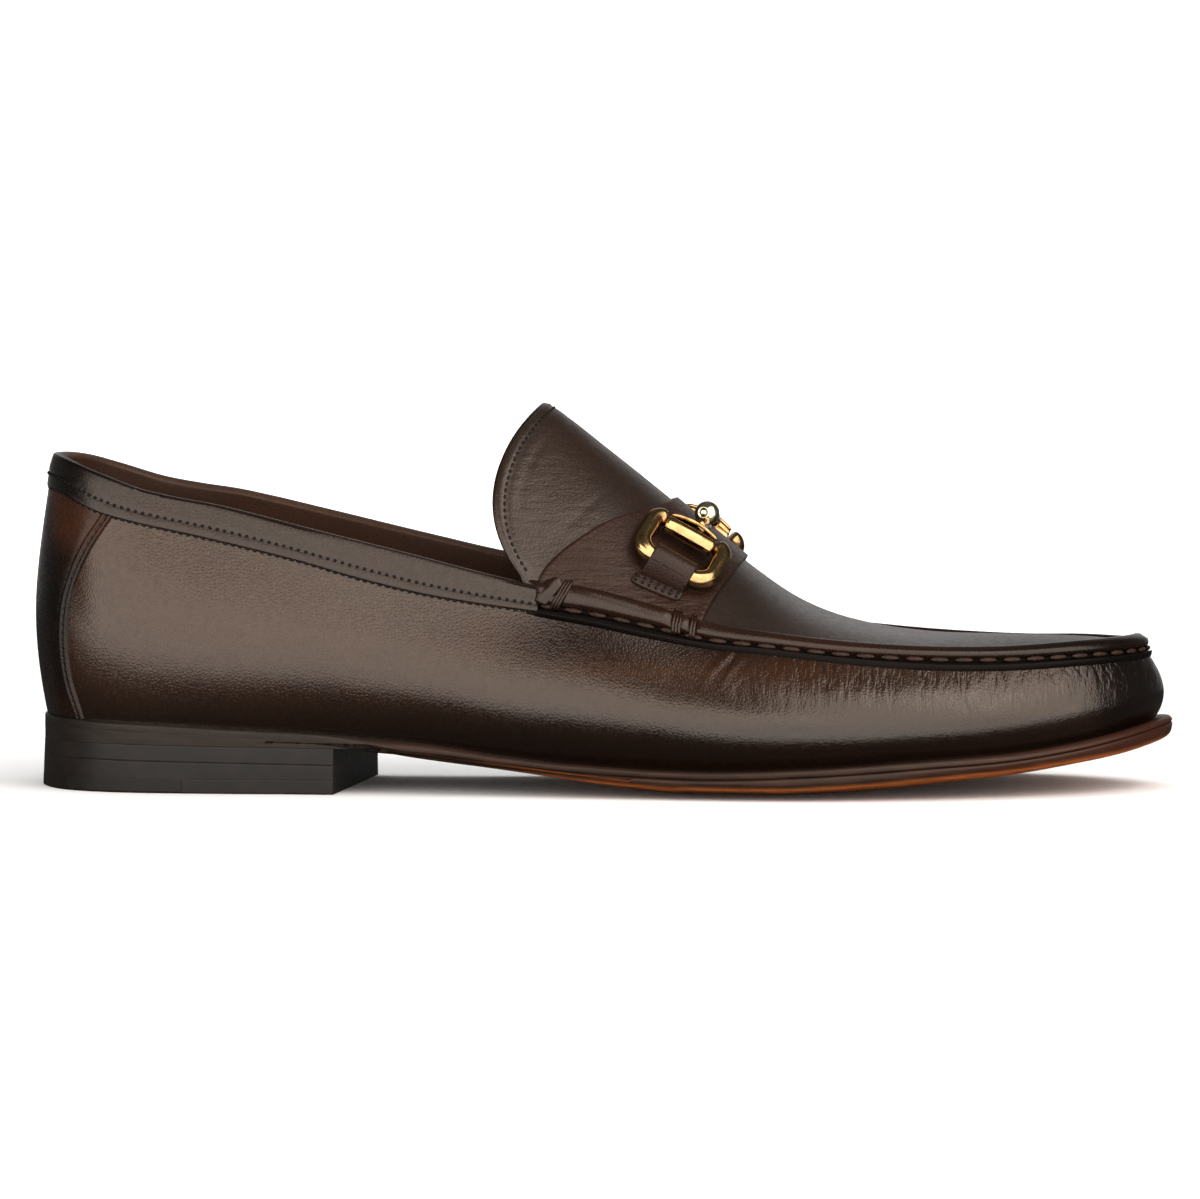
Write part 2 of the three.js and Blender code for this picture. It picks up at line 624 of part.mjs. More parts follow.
function backstayPrism() {
  const edge = sideLine(BACKSTAY_EDGE, COLLAR_HEIGHT, THROAT_STEPS);
  const low = edge[0][1];
  const first = TOPLINE[0].along * SOLE_LENGTH;
  const roof = toplinePoints(1, BACKSTAY_EDGE[BACKSTAY_EDGE.length - 1].along)
    .map(([x, z]) => [x, z - GAP]);
  const beyond = [[SOLE_LENGTH, roof[0][1] + ABOVE], [first, roof[0][1] + ABOVE]];
  const side = both([[first, low], ...edge, [first, edge[edge.length - 1][1]]]);
  const above = sidePrism([...roof, ...beyond].map(drop), [...roof, ...beyond].map(lift));
  return side.subtract(above);
}
const backstay = overlay(BACKSTAY_THICKNESS, backstayPrism());

const HEM_STEPS = 8;
function saddlePrism() {
  const back = sideLine(SADDLE_BACK, INSTEP_HEIGHT, THROAT_STEPS);
  const front = sideLine(SADDLE_FRONT, INSTEP_HEIGHT, THROAT_STEPS).reverse();
  const hem = [];
  const start = front[front.length - 1][0];
  for (let i = 0; i <= HEM_STEPS; i += 1) {
    const x = start + ((back[0][0] - start) * i) / HEM_STEPS;
    hem.push([x, section.shoulder(x) - SADDLE_HEM]);
  }
  const high = [...back.filter((p) => p[1] > hem[HEM_STEPS][1]), ...front.filter((p) => p[1] > hem[0][1])];
  return sidePrism([...hem, ...high].map(drop), [...hem, ...high].map(lift));
}
const saddle = overlay(OVERLAY_THICKNESS, saddlePrism());

// Layer of the sole from shares of the way out to its edge, each with a height
function layer(inset, underside, topside) {
  const ribs = PLACES.map((place) => {
    const rib = plan(place, inset);
    const at = (row) => {
      const r = rib.reach * row.share - row.in;
      const x = rib.root.x + rib.out.x * r;
      return ribPoint(rib, r, row.height(x, r / rib.reach));
    };
    return [...underside, ...topside].map(at);
  });
  return toSolid(ringGeometry(ribs));
}

const heelPlane = (back, front) => (x) => back + ((front - back) * x) / HEEL_LENGTH;
const heelSeat = heelPlane(HEEL_HEIGHT, HEEL_FRONT_HEIGHT);
const SEAT_END = 0.3 * SOLE_LENGTH + 0.1;
const TREAD_SHARES = [0.45, 0.65, 0.83];
function treadAt(x, share) {
  if (x <= SEAT_END) return heelSeat(x);
  const out = Math.max(0, (share - TREAD_SHARES[0]) / (1 - TREAD_SHARES[0]));
  return Math.max(0, treadHeight(x)) + treadCrown(x) * TREAD_CROWN * out * out;
}
const seatAt = (x) => soleTop(x) - MIDSOLE_THICKNESS;
const row = (share, height, inwards = 0) => ({ share, height, in: inwards });
const SOLE_BULGE = 0.5;
const HALF_WAY = 0.5;

const outsole = layer(0,
  [
    row(0, treadAt), ...TREAD_SHARES.map((share) => row(share, treadAt)),
    row(1, treadAt, EDGE_ROUND / 2),
  ],
  [
    row(1, (x) => treadAt(x, 1) + SOLE_BULGE),
    row(1, (x) => seatAt(x) - GAP - soleDrop(x) * WAIST_DROP / 2),
    row(1, (x) => seatAt(x) - GAP, EDGE_ROUND),
    row(HALF_WAY, (x) => seatAt(x) - GAP),
    row(0, (x) => seatAt(x) - GAP),
  ]);

const midsole = layer(0,
  [row(0, seatAt), row(HALF_WAY, seatAt), row(1, seatAt, EDGE_ROUND)],
  [
    row(1, (x) => seatAt(x) - soleDrop(x) * WAIST_DROP / 2 + SOLE_BULGE / 2),
    row(1, (x) => soleTop(x) - soleDrop(x) * WAIST_DROP - SOLE_BULGE / 2),
    row(1, (x) => soleTop(x) - soleDrop(x) * WAIST_DROP / 2, EDGE_ROUND / 2),
    row(1, soleTop, EDGE_ROUND * 1.5),
    row(HALF_WAY, soleTop), row(0, soleTop),
  ]);

// Insole: on the midsole, clear of the inside of the wall
const INSOLE_INSET = FEATHER_INSET + WALL + 2 * GAP;
const bedAt = (x) => soleTop(x) + GAP;
const sockAt = (x) => bedAt(x) + INSOLE_THICKNESS;
const insole = layer(INSOLE_INSET,
  [row(0, bedAt), row(HALF_WAY, bedAt), row(1, bedAt)],
  [row(1, sockAt), row(HALF_WAY, sockAt), row(0, sockAt)]);

// Heel: outline of the sole's back part between two heights, cut off at the breast
function heelLayer(low, high, from, to) {
  const ribs = PLACES.map((place) => {
    const rib = plan(place, 0);
    const edge = (height) => {
      const flare = HEEL_FLARE * (1 - height(rib.foot.x) / HEEL_HEIGHT);
      return ribPoint(rib, rib.reach + flare, height(rib.foot.x));
    };
    return [
      ribPoint(rib, 0, low(rib.root.x)), edge(low),
      edge(high), ribPoint(rib, 0, high(rib.root.x)),
    ];
  });
  return toSolid(ringGeometry(ribs)).intersect(breastPrism(from, to));
}

// Slab across the shoe between two slanted upright planes
function breastPrism(from, to) {
  const half = SEAT_WIDTH / 2;
  const line = (x, y) => x + (y / half) * BREAST_DEPTH;
  const reach = SEAT_WIDTH;
  const corners = [
    [from === 0 ? -reach : line(from, -reach), -reach],
    [line(to, -reach), -reach],
    [line(to, reach), reach],
    [from === 0 ? -reach : line(from, reach), reach],
  ];
  const shape = new THREE.Shape(corners.map((p) => new THREE.Vector2(...p)));
  const geometry = new THREE.ExtrudeGeometry(shape, { depth: 3 * SEAT_HEIGHT, bevelEnabled: false });
  geometry.translate(0, 0, -SEAT_HEIGHT);
  return toSolid(geometry);
}

const heelTop = (x) => heelSeat(x) - GAP;
const lowerLiftTop = heelPlane(TOP_PIECE_THICKNESS + LOWER_LIFT_BACK, TOP_PIECE_THICKNESS + LOWER_LIFT_FRONT);
const floor = () => 0;
const topPieceTop = () => TOP_PIECE_THICKNESS;
const breast = HEEL_LENGTH;
const upperLift = heelLayer((x) => lowerLiftTop(x) + GAP, heelTop, 0, breast);
const lowerLift = heelLayer(topPieceTop, lowerLiftTop, 0, breast);
const rubberPiece = heelLayer(floor, topPieceTop, 0, RUBBER_LENGTH);
const leatherPiece = heelLayer(floor, topPieceTop, RUBBER_LENGTH + GAP, breast);

// Place round the outline of a distance along, on either side
const PLACE_HALVINGS = 30;
function placeAt(x, medial) {
  let low = 0;
  let high = LAST_ROW;
  for (let i = 0; i < PLACE_HALVINGS; i += 1) {
    const half = (low + high) / 2;
    if (edgeAt(half).x < x) low = half;
    else high = half;
  }
  return medial ? 2 * LAST_ROW - low : low;
}

// Point on the crown and its outward normal
const NEARBY = 0.01;
function onCrown(x, medial, share, offset) {
  const at = (dx, dt) => lastRib(placeAt(x + dx, medial)).crownAt(share + dt);
  const along = at(NEARBY, 0).sub(at(-NEARBY, 0));
  const inwards = at(0, NEARBY).sub(at(0, -NEARBY));
  const normal = along.clone().cross(inwards).normalize().multiplyScalar(medial ? -1 : 1);
  return { point: at(0, 0).addScaledVector(normal, offset), normal, along: along.normalize() };
}

// Frame of one ring: u forwards along the crown, v across it, w out of the leather
const STRAP_TOP = GAP + OVERLAY_THICKNESS;
const RING_SINK = -0.6;
function ringFrame(medial) {
  const height = STRAP_TOP + GAP + RING_WIRE / 2 - RING_SINK;
  const share = medial ? MEDIAL_CROWN_SHARE : RING_CROWN_SHARE;
  const { point, normal, along } = onCrown(RING_CENTRE, medial, share, height);
  const across = normal.clone().cross(along);
  return new THREE.Matrix4().makeBasis(along, across, normal).setPosition(point);
}

function polygon(radius, sides) {
  const points = [];
  for (let i = 0; i < sides; i += 1) {
    const angle = (2 * Math.PI * (i + 0.5)) / sides;
    points.push(new THREE.Vector2(radius * Math.cos(angle), radius * Math.sin(angle)));
  }
  return new THREE.Shape(points);
}

const ROD_SIDES = 6;
function rod(points, radius, steps) {
  const geometry = new THREE.ExtrudeGeometry(polygon(radius, ROD_SIDES), {
    steps, extrudePath: new THREE.CatmullRomCurve3(points, false, "centripetal"), bevelEnabled: false,
  });
  return toSolid(geometry);
}

// Ring bent from rod round its keeper bar, open where the barrel sits; side is -1 outer, 1 inner
const RING_STEPS = 30;
function ringSolid(frame, side) {
  const a = RING_LENGTH / 2;
  const b = RING_WIDTH / 2;
  const c = RING_CORNER;
  const end = BARREL_LENGTH / 2 + 2 * GAP;
  const tight = a - end;
  const path = new THREE.Path();
  path.moveTo(-end, -b);
  path.absarc(-end, tight - b, tight, -Math.PI / 2, -Math.PI, true);
  path.absarc(c - a, b - c, c, Math.PI, Math.PI / 2, true);
  path.absarc(a - c, b - c, c, Math.PI / 2, 0, true);
  path.absarc(end, tight - b, tight, 0, -Math.PI / 2, true);
  const points = path.getSpacedPoints(RING_STEPS)
    .map((p) => new THREE.Vector3(p.x, side * p.y, 0).applyMatrix4(frame));
  return rod(points, RING_WIRE / 2, RING_STEPS);
}

// Ball of the mouthpiece, on the strap just outside the ridge
const BALL_SIDES = 10;
const ballCentre = onCrown(BALL_CENTRE, false, BALL_CROWN_SHARE, STRAP_TOP + GAP + BALL_DIAMETER / 2).point;
const ballGeometry = new THREE.SphereGeometry(BALL_DIAMETER / 2, BALL_SIDES, BALL_SIDES - 2);
ballGeometry.translate(ballCentre.x, ballCentre.y, ballCentre.z);

// Half of the mouthpiece: a barrel between the ring's ends and a bar up to the ball
const BARREL_SIDES = 12;
const BARREL_CHAMFER = 0.8;
const OUTER_BAR = [0.62, 0.65, 0.68];
const INNER_BAR = [0.7, 0.84, 0.98];
const BAR_STEPS = 8;
function mouthpiece(frame, side, medial) {
  const r = BARREL_DIAMETER / 2;
  const h = BARREL_LENGTH / 2;
  const profile = [
    [0, -h], [r - BARREL_CHAMFER, -h], [r, -h + BARREL_CHAMFER],
    [r, h - BARREL_CHAMFER], [r - BARREL_CHAMFER, h], [0, h],
  ].map((p) => new THREE.Vector2(...p));
  const barrel = new THREE.LatheGeometry(profile, BARREL_SIDES);
  barrel.rotateZ(-Math.PI / 2);
  const across = -side * (RING_WIDTH / 2 - BARREL_INSET);
  barrel.translate(0, across, 0);
  barrel.applyMatrix4(frame);
  const start = new THREE.Vector3(0, across, 0).applyMatrix4(frame);
  const height = STRAP_TOP + GAP + BIT_BAR / 2;
  const shares = medial ? INNER_BAR : OUTER_BAR;
  const middle = shares.map((share, i) => {
    const x = start.x + ((BALL_CENTRE - start.x) * (i + 1)) / (shares.length + 1);
    return onCrown(x, medial, share, height).point;
  });
  const before = middle[middle.length - 1];
  const stop = ballCentre.clone().lerp(before, (BALL_DIAMETER / 2 + GAP) / ballCentre.distanceTo(before));
  return toSolid(barrel).add(rod([start, ...middle, stop], BIT_BAR / 2, BAR_STEPS));
}

// Leather keeper: an arch over the ring's outer bar and a tab sewn to the strap
const ARCH_STEPS = 10;
function keeper(frame, side) {
  const bar = (side * RING_WIDTH) / 2;
  const bore = RING_WIRE / 2 + GAP;
  const outside = bore + KEEPER_THICKNESS;
  const along = (shape, length) => {
    const geometry = new THREE.ExtrudeGeometry(shape, {
      depth: length, bevelEnabled: false, curveSegments: ARCH_STEPS,
    });
    geometry.translate(0, 0, -length / 2);
    geometry.applyMatrix4(new THREE.Matrix4().makeBasis(
      new THREE.Vector3(0, 1, 0), new THREE.Vector3(0, 0, 1), new THREE.Vector3(1, 0, 0)));
    geometry.translate(0, bar, 0);
    geometry.applyMatrix4(frame);
    return toSolid(geometry);
  };
  const arch = new THREE.Shape();
  arch.moveTo(-outside, -outside);
  arch.lineTo(outside, -outside);
  arch.lineTo(outside, 0);
  arch.absarc(0, 0, outside, 0, Math.PI, false);
  const tabStart = side * bore;
  const tabEnd = side * (outside + KEEPER_TAB);
  const tabFoot = -RING_WIDTH;
  const tab = new THREE.Shape([
    new THREE.Vector2(tabStart, tabFoot), new THREE.Vector2(tabEnd, tabFoot),
    new THREE.Vector2(tabEnd, outside), new THREE.Vector2(tabStart, outside),
  ]);
  const footing = lastSolid(SEAM_GRID, STRAP_TOP + GAP);
  const cover = lastSolid(SEAM_GRID, STRAP_TOP + GAP + KEEPER_THICKNESS);
  return along(arch, KEEPER_WIDTH).add(along(tab, KEEPER_WIDTH).intersect(cover))
    .subtract(along(polygon(bore, ARCH_STEPS), 2 * KEEPER_WIDTH)).subtract(footing);
}

// The assembly
const shoe = new THREE.Group();
function add(name, solid, material) {
  const mesh = new THREE.Mesh(toGeometry(solid), material);
  mesh.name = name;
  shoe.add(mesh);
  return mesh;
}

add("upper", upperSolid, FINISH.calf);
add("collar_band", collarBand, FINISH.trim);
add("backstay", backstay, FINISH.calf);
add("saddle_strap", saddle, FINISH.calf);
add("insole", insole, FINISH.lining);
add("midsole", midsole, FINISH.edge);
add("outsole", outsole, FINISH.sole);
add("heel_lift_upper", upperLift, FINISH.heel);
add("heel_lift_lower", lowerLift, FINISH.heel);
add("top_piece_rubber", rubberPiece, FINISH.rubber);
add("top_piece_leather", leatherPiece, FINISH.heel);

for (const [word, side] of [["lateral", -1], ["medial", 1]]) {
  const frame = ringFrame(side > 0);
  add(`bit_ring_${word}`, ringSolid(frame, side), FINISH.brass);
  add(`mouthpiece_${word}`, mouthpiece(frame, side, side > 0), FINISH.brass);
  add(`keeper_${word}`, keeper(frame, side), FINISH.trim);
}
add("mouthpiece_ball", toSolid(ballGeometry), FINISH.brass);

// Origin at the middle of the box, on the floor
const box = new THREE.Box3().setFromObject(shoe);
const middle = box.getCenter(new THREE.Vector3());
shoe.position.set(-middle.x, -middle.y, -box.min.z);

export default shoe;
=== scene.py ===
import math

import bmesh
import bpy
import numpy as np
from mathutils import Matrix, Vector


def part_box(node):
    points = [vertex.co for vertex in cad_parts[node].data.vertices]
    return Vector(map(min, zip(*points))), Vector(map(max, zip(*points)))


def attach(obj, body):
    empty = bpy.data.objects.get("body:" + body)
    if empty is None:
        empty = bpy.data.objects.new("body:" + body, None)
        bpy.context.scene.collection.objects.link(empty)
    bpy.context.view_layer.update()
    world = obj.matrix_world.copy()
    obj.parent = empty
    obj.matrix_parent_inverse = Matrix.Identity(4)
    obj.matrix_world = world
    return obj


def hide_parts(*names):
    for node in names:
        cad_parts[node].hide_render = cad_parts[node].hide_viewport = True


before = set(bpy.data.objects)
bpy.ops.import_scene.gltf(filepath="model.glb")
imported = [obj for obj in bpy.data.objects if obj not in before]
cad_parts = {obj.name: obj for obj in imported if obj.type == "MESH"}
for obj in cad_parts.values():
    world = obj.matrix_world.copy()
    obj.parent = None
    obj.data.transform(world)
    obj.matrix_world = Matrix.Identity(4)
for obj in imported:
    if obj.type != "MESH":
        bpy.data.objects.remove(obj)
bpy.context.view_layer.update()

# Sizes of the shoe, in millimetres
SOLE_LENGTH = 300
BALL_WIDTH = 104
SEAT_WIDTH = 67
SPINE_OFFSET = 3
INSTEP_HEIGHT = 101.6
COLLAR_HEIGHT = 87.6
SEAM_HEIGHT = 38
MEDIAL_RISE = 3
FEATHER_INSET = 4.5
APRON_INSET = 8.5
SEAT_HEIGHT = 19.2
FOREPART_HEIGHT = 7.5
HEEL_HEIGHT = 13.1
HEEL_FRONT_HEIGHT = 12
TOE_SPRING = 13.2
TREAD_CROWN = 3
WELT_THICKNESS = 2
SOCK_THICKNESS = 2
TOP_PIECE_THICKNESS = 3.8
LOWER_LIFT_BACK = 5
LOWER_LIFT_FRONT = 3.8
RUBBER_LENGTH = 42.9
HEEL_LENGTH = 83.5
BREAST_SLANT = 2.4
HEEL_FLARE = 0.6
WALL = 2
BAND_THICKNESS = 1.2
SADDLE_THICKNESS = 1.5
COLLAR_BAND = 9.5
GAP = 0.3
STRAP_TOP = 1.6

# Bit
RING_LENGTH = 20.8
RING_WIDTH = 14.8
RING_WIRE = 4.7
RING_CORNER = 5.2
RING_CENTRE = 169.9
RING_CROWN_SHARE = 0.37
MEDIAL_CROWN_SHARE = 0.4
RING_SINK = -0.6
BARREL_LENGTH = 14
BARREL_DIAMETER = 4.6
BARREL_INSET = 1.5
BALL_DIAMETER = 6.6
BALL_CENTRE = 174.2
BALL_CROWN_SHARE = 0.8
KEEPER_WIDTH = 12
KEEPER_THICKNESS = 1.2
BAR_INSET = 0.9
BARREL_LINE = RING_WIDTH / 2 - BARREL_INSET
TAB_LENGTH, TAB_BREADTH = 14.0, 3.8

# Tables: distance along as a share of the sole's length, then shares of the named sizes
OUTLINE = np.array([
    (0, SEAT_WIDTH, 0, 0), (0.017, SEAT_WIDTH, 0.254, 0.254), (0.04, SEAT_WIDTH, 0.373, 0.373),
    (0.083, SEAT_WIDTH, 0.463, 0.463), (0.15, SEAT_WIDTH, 0.5, 0.498),
    (0.233, SEAT_WIDTH, 0.515, 0.478), (0.333, BALL_WIDTH, 0.351, 0.274),
    (0.433, BALL_WIDTH, 0.394, 0.284), (0.533, BALL_WIDTH, 0.452, 0.346),
    (0.617, BALL_WIDTH, 0.493, 0.428), (0.667, BALL_WIDTH, 0.504, 0.469),
    (0.733, BALL_WIDTH, 0.495, 0.494), (0.817, BALL_WIDTH, 0.444, 0.481),
    (0.883, BALL_WIDTH, 0.37, 0.418), (0.933, BALL_WIDTH, 0.284, 0.337),
    (0.97, BALL_WIDTH, 0.178, 0.231), (0.993, BALL_WIDTH, 0.058, 0.135),
    (1, BALL_WIDTH, -0.038, 0.038),
])
SOLE_TOP = np.array([
    (0, SEAT_HEIGHT, 1, 0), (0.1, SEAT_HEIGHT, 0.948, 0), (0.2, SEAT_HEIGHT, 0.87, 0),
    (0.275, SEAT_HEIGHT, 0.805, 0.15), (0.295, SEAT_HEIGHT, 0.774, 0.95),
    (0.35, FOREPART_HEIGHT, 1.813, 1), (0.42, FOREPART_HEIGHT, 1.44, 0.6),
    (0.507, FOREPART_HEIGHT, 1.13, 0.2), (0.596, FOREPART_HEIGHT, 1, 0),
    (0.696, FOREPART_HEIGHT, 1.133, 0), (0.795, FOREPART_HEIGHT, 1.4, 0),
    (0.87, FOREPART_HEIGHT, 1.61, 0), (0.94, TOE_SPRING, 1.16, 0), (1, TOE_SPRING, 1.47, 0),
])
TREAD = np.array([
    (0, HEEL_HEIGHT, 1, 0), (0.3, HEEL_HEIGHT, 0.91, 0), (0.325, HEEL_HEIGHT, 0.79, 0.1),
    (0.413, HEEL_HEIGHT, 0.5, 0.3), (0.507, HEEL_HEIGHT, 0.16, 0.75), (0.573, HEEL_HEIGHT, 0, 1),
    (0.667, TOE_SPRING, 0, 1), (0.697, TOE_SPRING, 0.03, 1), (0.797, TOE_SPRING, 0.212, 0.95),
    (0.897, TOE_SPRING, 0.485, 0.6), (0.967, TOE_SPRING, 0.79, 0.25), (1, TOE_SPRING, 1, 0.1),
])
RIDGE = np.array([
    (0, 1.102), (0.3, 1.102), (0.38, 1.088), (0.447, 1), (0.503, 0.875), (0.557, 0.747),
    (0.6, 0.642), (0.633, 0.563), (0.667, 0.493), (0.7, 0.447), (0.733, 0.419),
    (0.783, 0.399), (0.833, 0.397), (0.873, 0.399),
])
# Sections: along, inset, size of the shoulder, shoulder, rise, apron, lean, turn, crown
SECTIONS = np.array([
    (0, 0.27, COLLAR_HEIGHT, 0.962, 0, 0.15, 11, 8, 14),
    (0.067, 0.3, COLLAR_HEIGHT, 0.925, 0.1, 0.42, 14, 12, 18),
    (0.15, 0.4, COLLAR_HEIGHT, 0.862, 0.4, 0.5, 17, 12, 18),
    (0.267, 0.55, COLLAR_HEIGHT, 0.756, 0.6, 0.22, 22, 9, 14),
    (0.367, 0.65, COLLAR_HEIGHT, 0.664, 0.8, 0.25, 26, 9, 10),
    (0.447, 0.8, SEAM_HEIGHT, 1.395, 1, 0.45, 29, 12, 9),
    (0.5, 0.9, SEAM_HEIGHT, 1.335, 0.7, 0.6, 31, 18, 14),
    (0.55, 1, SEAM_HEIGHT, 1.24, 0.5, 0.75, 33, 26, 28),
    (0.6, 1, SEAM_HEIGHT, 1.137, 0.3, 0.9, 34, 34, 43),
    (0.65, 1, SEAM_HEIGHT, 1.08, 0.1, 1, 35, 40, 58),
    (0.72, 1, SEAM_HEIGHT, 1.02, 0, 1, 36, 43, 72),
    (0.8, 1, SEAM_HEIGHT, 0.982, -0.2, 0.88, 36, 42, 79),
    (0.87, 0.98, SEAM_HEIGHT, 0.979, -0.35, 0.72, 35, 40, 81),
    (0.94, 0.96, SEAM_HEIGHT, 1.002, -0.45, 0.55, 34, 37, 82),
    (1, 0.96, SEAM_HEIGHT, 1.013, -0.5, 0.48, 33, 35, 82),
])
TOPLINE = np.array([
    (-0.05, 1.006, 1), (0.022, 1.002, 1), (0.059, 0.96, 1.1), (0.097, 0.914, 0.98),
    (0.13, 0.888, 0.96), (0.163, 0.868, 1), (0.195, 0.843, 1), (0.24, 0.805, 0.99),
    (0.293, 0.761, 1.05), (0.347, 0.716, 1.03), (0.401, 0.67, 0.88), (0.447, 0.634, 0.73),
])
# Side view lines given upwards: height as a share of the instep's, then distance along
TONGUE_EDGE = np.array([
    (0.50, 0.4375), (0.562, 0.437), (0.6, 0.428), (0.676, 0.4155), (0.76, 0.4105),
    (0.862, 0.4165), (0.952, 0.4325), (1.013, 0.451), (1.06, 0.47),
])
SADDLE_BACK = np.array([
    (0.44, 0.45), (0.592, 0.4573), (0.66, 0.484), (0.71, 0.516), (0.739, 0.555), (0.85, 0.57),
])
SADDLE_FRONT = np.array([(0.38, 0.588), (0.487, 0.601), (0.61, 0.627), (0.76, 0.66)])
BACKSTAY_EDGE = np.array([
    (0.1, 0.055), (0.23, 0.045), (0.34, 0.0355), (0.48, 0.032), (0.62, 0.038),
    (0.765, 0.056), (0.87, 0.075),
])
# Raised seam, in millimetres from the shoulder line: foot of the lip, stitches, top of the roll
SEAM = np.array([
    (0.43, -5.4, -2.4, 3.2), (0.46, -6.2, -3.0, 3.9), (0.5, -6.6, -3.2, 3.9),
    (0.55, -6.2, -2.9, 3.4), (0.6, -4.9, -2.4, 2.9), (0.65, -4.2, -2.0, 2.7),
    (0.72, -4.5, -2.0, 2.6), (0.8, -5.0, -2.0, 2.6), (0.87, -5.1, -2.2, 2.7),
    (0.94, -5.0, -2.5, 2.9), (1, -4.6, -2.5, 2.9),
])

MILLIMETRE = 0.001


# Smooth curve through the rows of a table
def column(x, y):
    x, y = np.asarray(x, float), np.asarray(y, float)
    step = np.diff(x)
    rate = np.diff(y) / step
    inner = (rate[:-1] * step[1:] + rate[1:] * step[:-1]) / (step[:-1] + step[1:])
    slope = np.concatenate([rate[:1], inner, rate[-1:]])

    def at(place):
        place = np.clip(place, x[0], x[-1])
        i = np.clip(np.searchsorted(x, place, side="left") - 1, 0, len(x) - 2)
        u = (place - x[i]) / step[i]
        v = 1 - u
        value = y[i] * v * v * (1 + 2 * u) + y[i + 1] * u * u * (3 - 2 * u)
        return value + step[i] * u * v * (slope[i] * v - slope[i + 1] * u)

    return at


def along(table, values):
    return column(table[:, 0] * SOLE_LENGTH, values)


sole_top = along(SOLE_TOP, SOLE_TOP[:, 1] * SOLE_TOP[:, 2])
sole_drop = along(SOLE_TOP, SOLE_TOP[:, 3])
tread_height = along(TREAD, TREAD[:, 1] * TREAD[:, 2])
tread_crown = along(TREAD, TREAD[:, 3])
ridge = along(RIDGE, RIDGE[:, 1] * INSTEP_HEIGHT)
inset_at = along(SECTIONS, SECTIONS[:, 1])
shoulder_at = along(SECTIONS, SECTIONS[:, 2] * SECTIONS[:, 3])
rise_at = along(SECTIONS, SECTIONS[:, 4])
apron_at = along(SECTIONS, SECTIONS[:, 5])
lean_at = along(SECTIONS, SECTIONS[:, 6])
turn_at = along(SECTIONS, SECTIONS[:, 7])
crown_at = along(SECTIONS, SECTIONS[:, 8])
topline = along(TOPLINE, TOPLINE[:, 1] * COLLAR_HEIGHT)
band_depth = along(TOPLINE, TOPLINE[:, 2] * COLLAR_BAND)
seam_lip = along(SEAM, SEAM[:, 1])
seam_stitch = along(SEAM, SEAM[:, 2])
seam_top = along(SEAM, SEAM[:, 3])
tongue_x = column(TONGUE_EDGE[:, 0] * INSTEP_HEIGHT, TONGUE_EDGE[:, 1] * SOLE_LENGTH)
saddle_back_x = column(SADDLE_BACK[:, 0] * INSTEP_HEIGHT, SADDLE_BACK[:, 1] * SOLE_LENGTH)
saddle_front_x = column(SADDLE_FRONT[:, 0] * INSTEP_HEIGHT, SADDLE_FRONT[:, 1] * SOLE_LENGTH)
backstay_x = column(BACKSTAY_EDGE[:, 0] * COLLAR_HEIGHT, BACKSTAY_EDGE[:, 1] * SOLE_LENGTH)


def smoothstep(x, low, high):
    t = np.clip((x - low) / (high - low), 0, 1)
    return t * t * (3 - 2 * t)


# Outline of the sole as a closed centripetal curve, counted in rows of its table
TOE = len(OUTLINE) - 1
ROUND = 2 * TOE
outer = np.stack([OUTLINE[:, 0] * SOLE_LENGTH, -OUTLINE[:, 1] * OUTLINE[:, 2]], -1)
inner = np.stack([OUTLINE[:, 0] * SOLE_LENGTH, OUTLINE[:, 1] * OUTLINE[:, 3]], -1)
CORNERS = np.concatenate([outer, inner[1:TOE][::-1]])


def outline(place):
    place = np.mod(place, ROUND)
    i = np.floor(place).astype(int)
    w = (place - i)[..., None]
    p0, p1, p2, p3 = (CORNERS[(i + k) % ROUND] for k in (-1, 0, 1, 2))
    d0, d1, d2 = (
        np.sqrt(np.linalg.norm(b - a, axis=-1))[..., None] for a, b in ((p0, p1), (p1, p2), (p2, p3))
    )
    t1 = ((p1 - p0) / d0 - (p2 - p0) / (d0 + d1) + (p2 - p1) / d1) * d1
    t2 = ((p2 - p1) / d1 - (p3 - p1) / (d1 + d2) + (p3 - p2) / d2) * d1
    c2 = -3 * p1 + 3 * p2 - 2 * t1 - t2
    c3 = 2 * p1 - 2 * p2 + t1 + t2
    point = p1 + t1 * w + c2 * w**2 + c3 * w**3
    tangent = t1 + 2 * c2 * w + 3 * c3 * w**2
    return point, tangent / np.linalg.norm(tangent, axis=-1, keepdims=True)


# Place on the outer side as it is, or its mirror place on the inner side
def on_side(place, medial):
    return ROUND - place if medial else place


SPINE_BACK = 0.12 * SOLE_LENGTH
SPINE_FRONT = 0.835 * SOLE_LENGTH
SPINE_EASE = 10
SPINE_TURN = (0.15 * SOLE_LENGTH, 0.45 * SOLE_LENGTH)
SIDE_FADE = 12
WALL_HANDLE, CROWN_HANDLE, RIDGE_HANDLE = 0.42, 0.38, 0.4


def hold_above(x, low):
    eased = low + (x - low + SPINE_EASE) ** 2 / (4 * SPINE_EASE)
    return np.where(x <= low - SPINE_EASE, low, np.where(x >= low + SPINE_EASE, x, eased))


def spine_root(place, edge):
    x = (edge[..., 0] + outline(ROUND - place)[0][..., 0]) / 2
    held = -hold_above(-hold_above(x, SPINE_BACK), -SPINE_FRONT)
    return np.stack([held, SPINE_OFFSET * smoothstep(x, *SPINE_TURN)], -1)


def plan(place, inset):
    edge, tangent = outline(place)
    inwards = np.stack([-tangent[..., 1], tangent[..., 0]], -1)
    foot = edge + inwards * np.asarray(inset)[..., None]
    root = spine_root(place, edge)
    reach = np.linalg.norm(foot - root, axis=-1)
    return foot, root, reach, (foot - root) / reach[..., None]


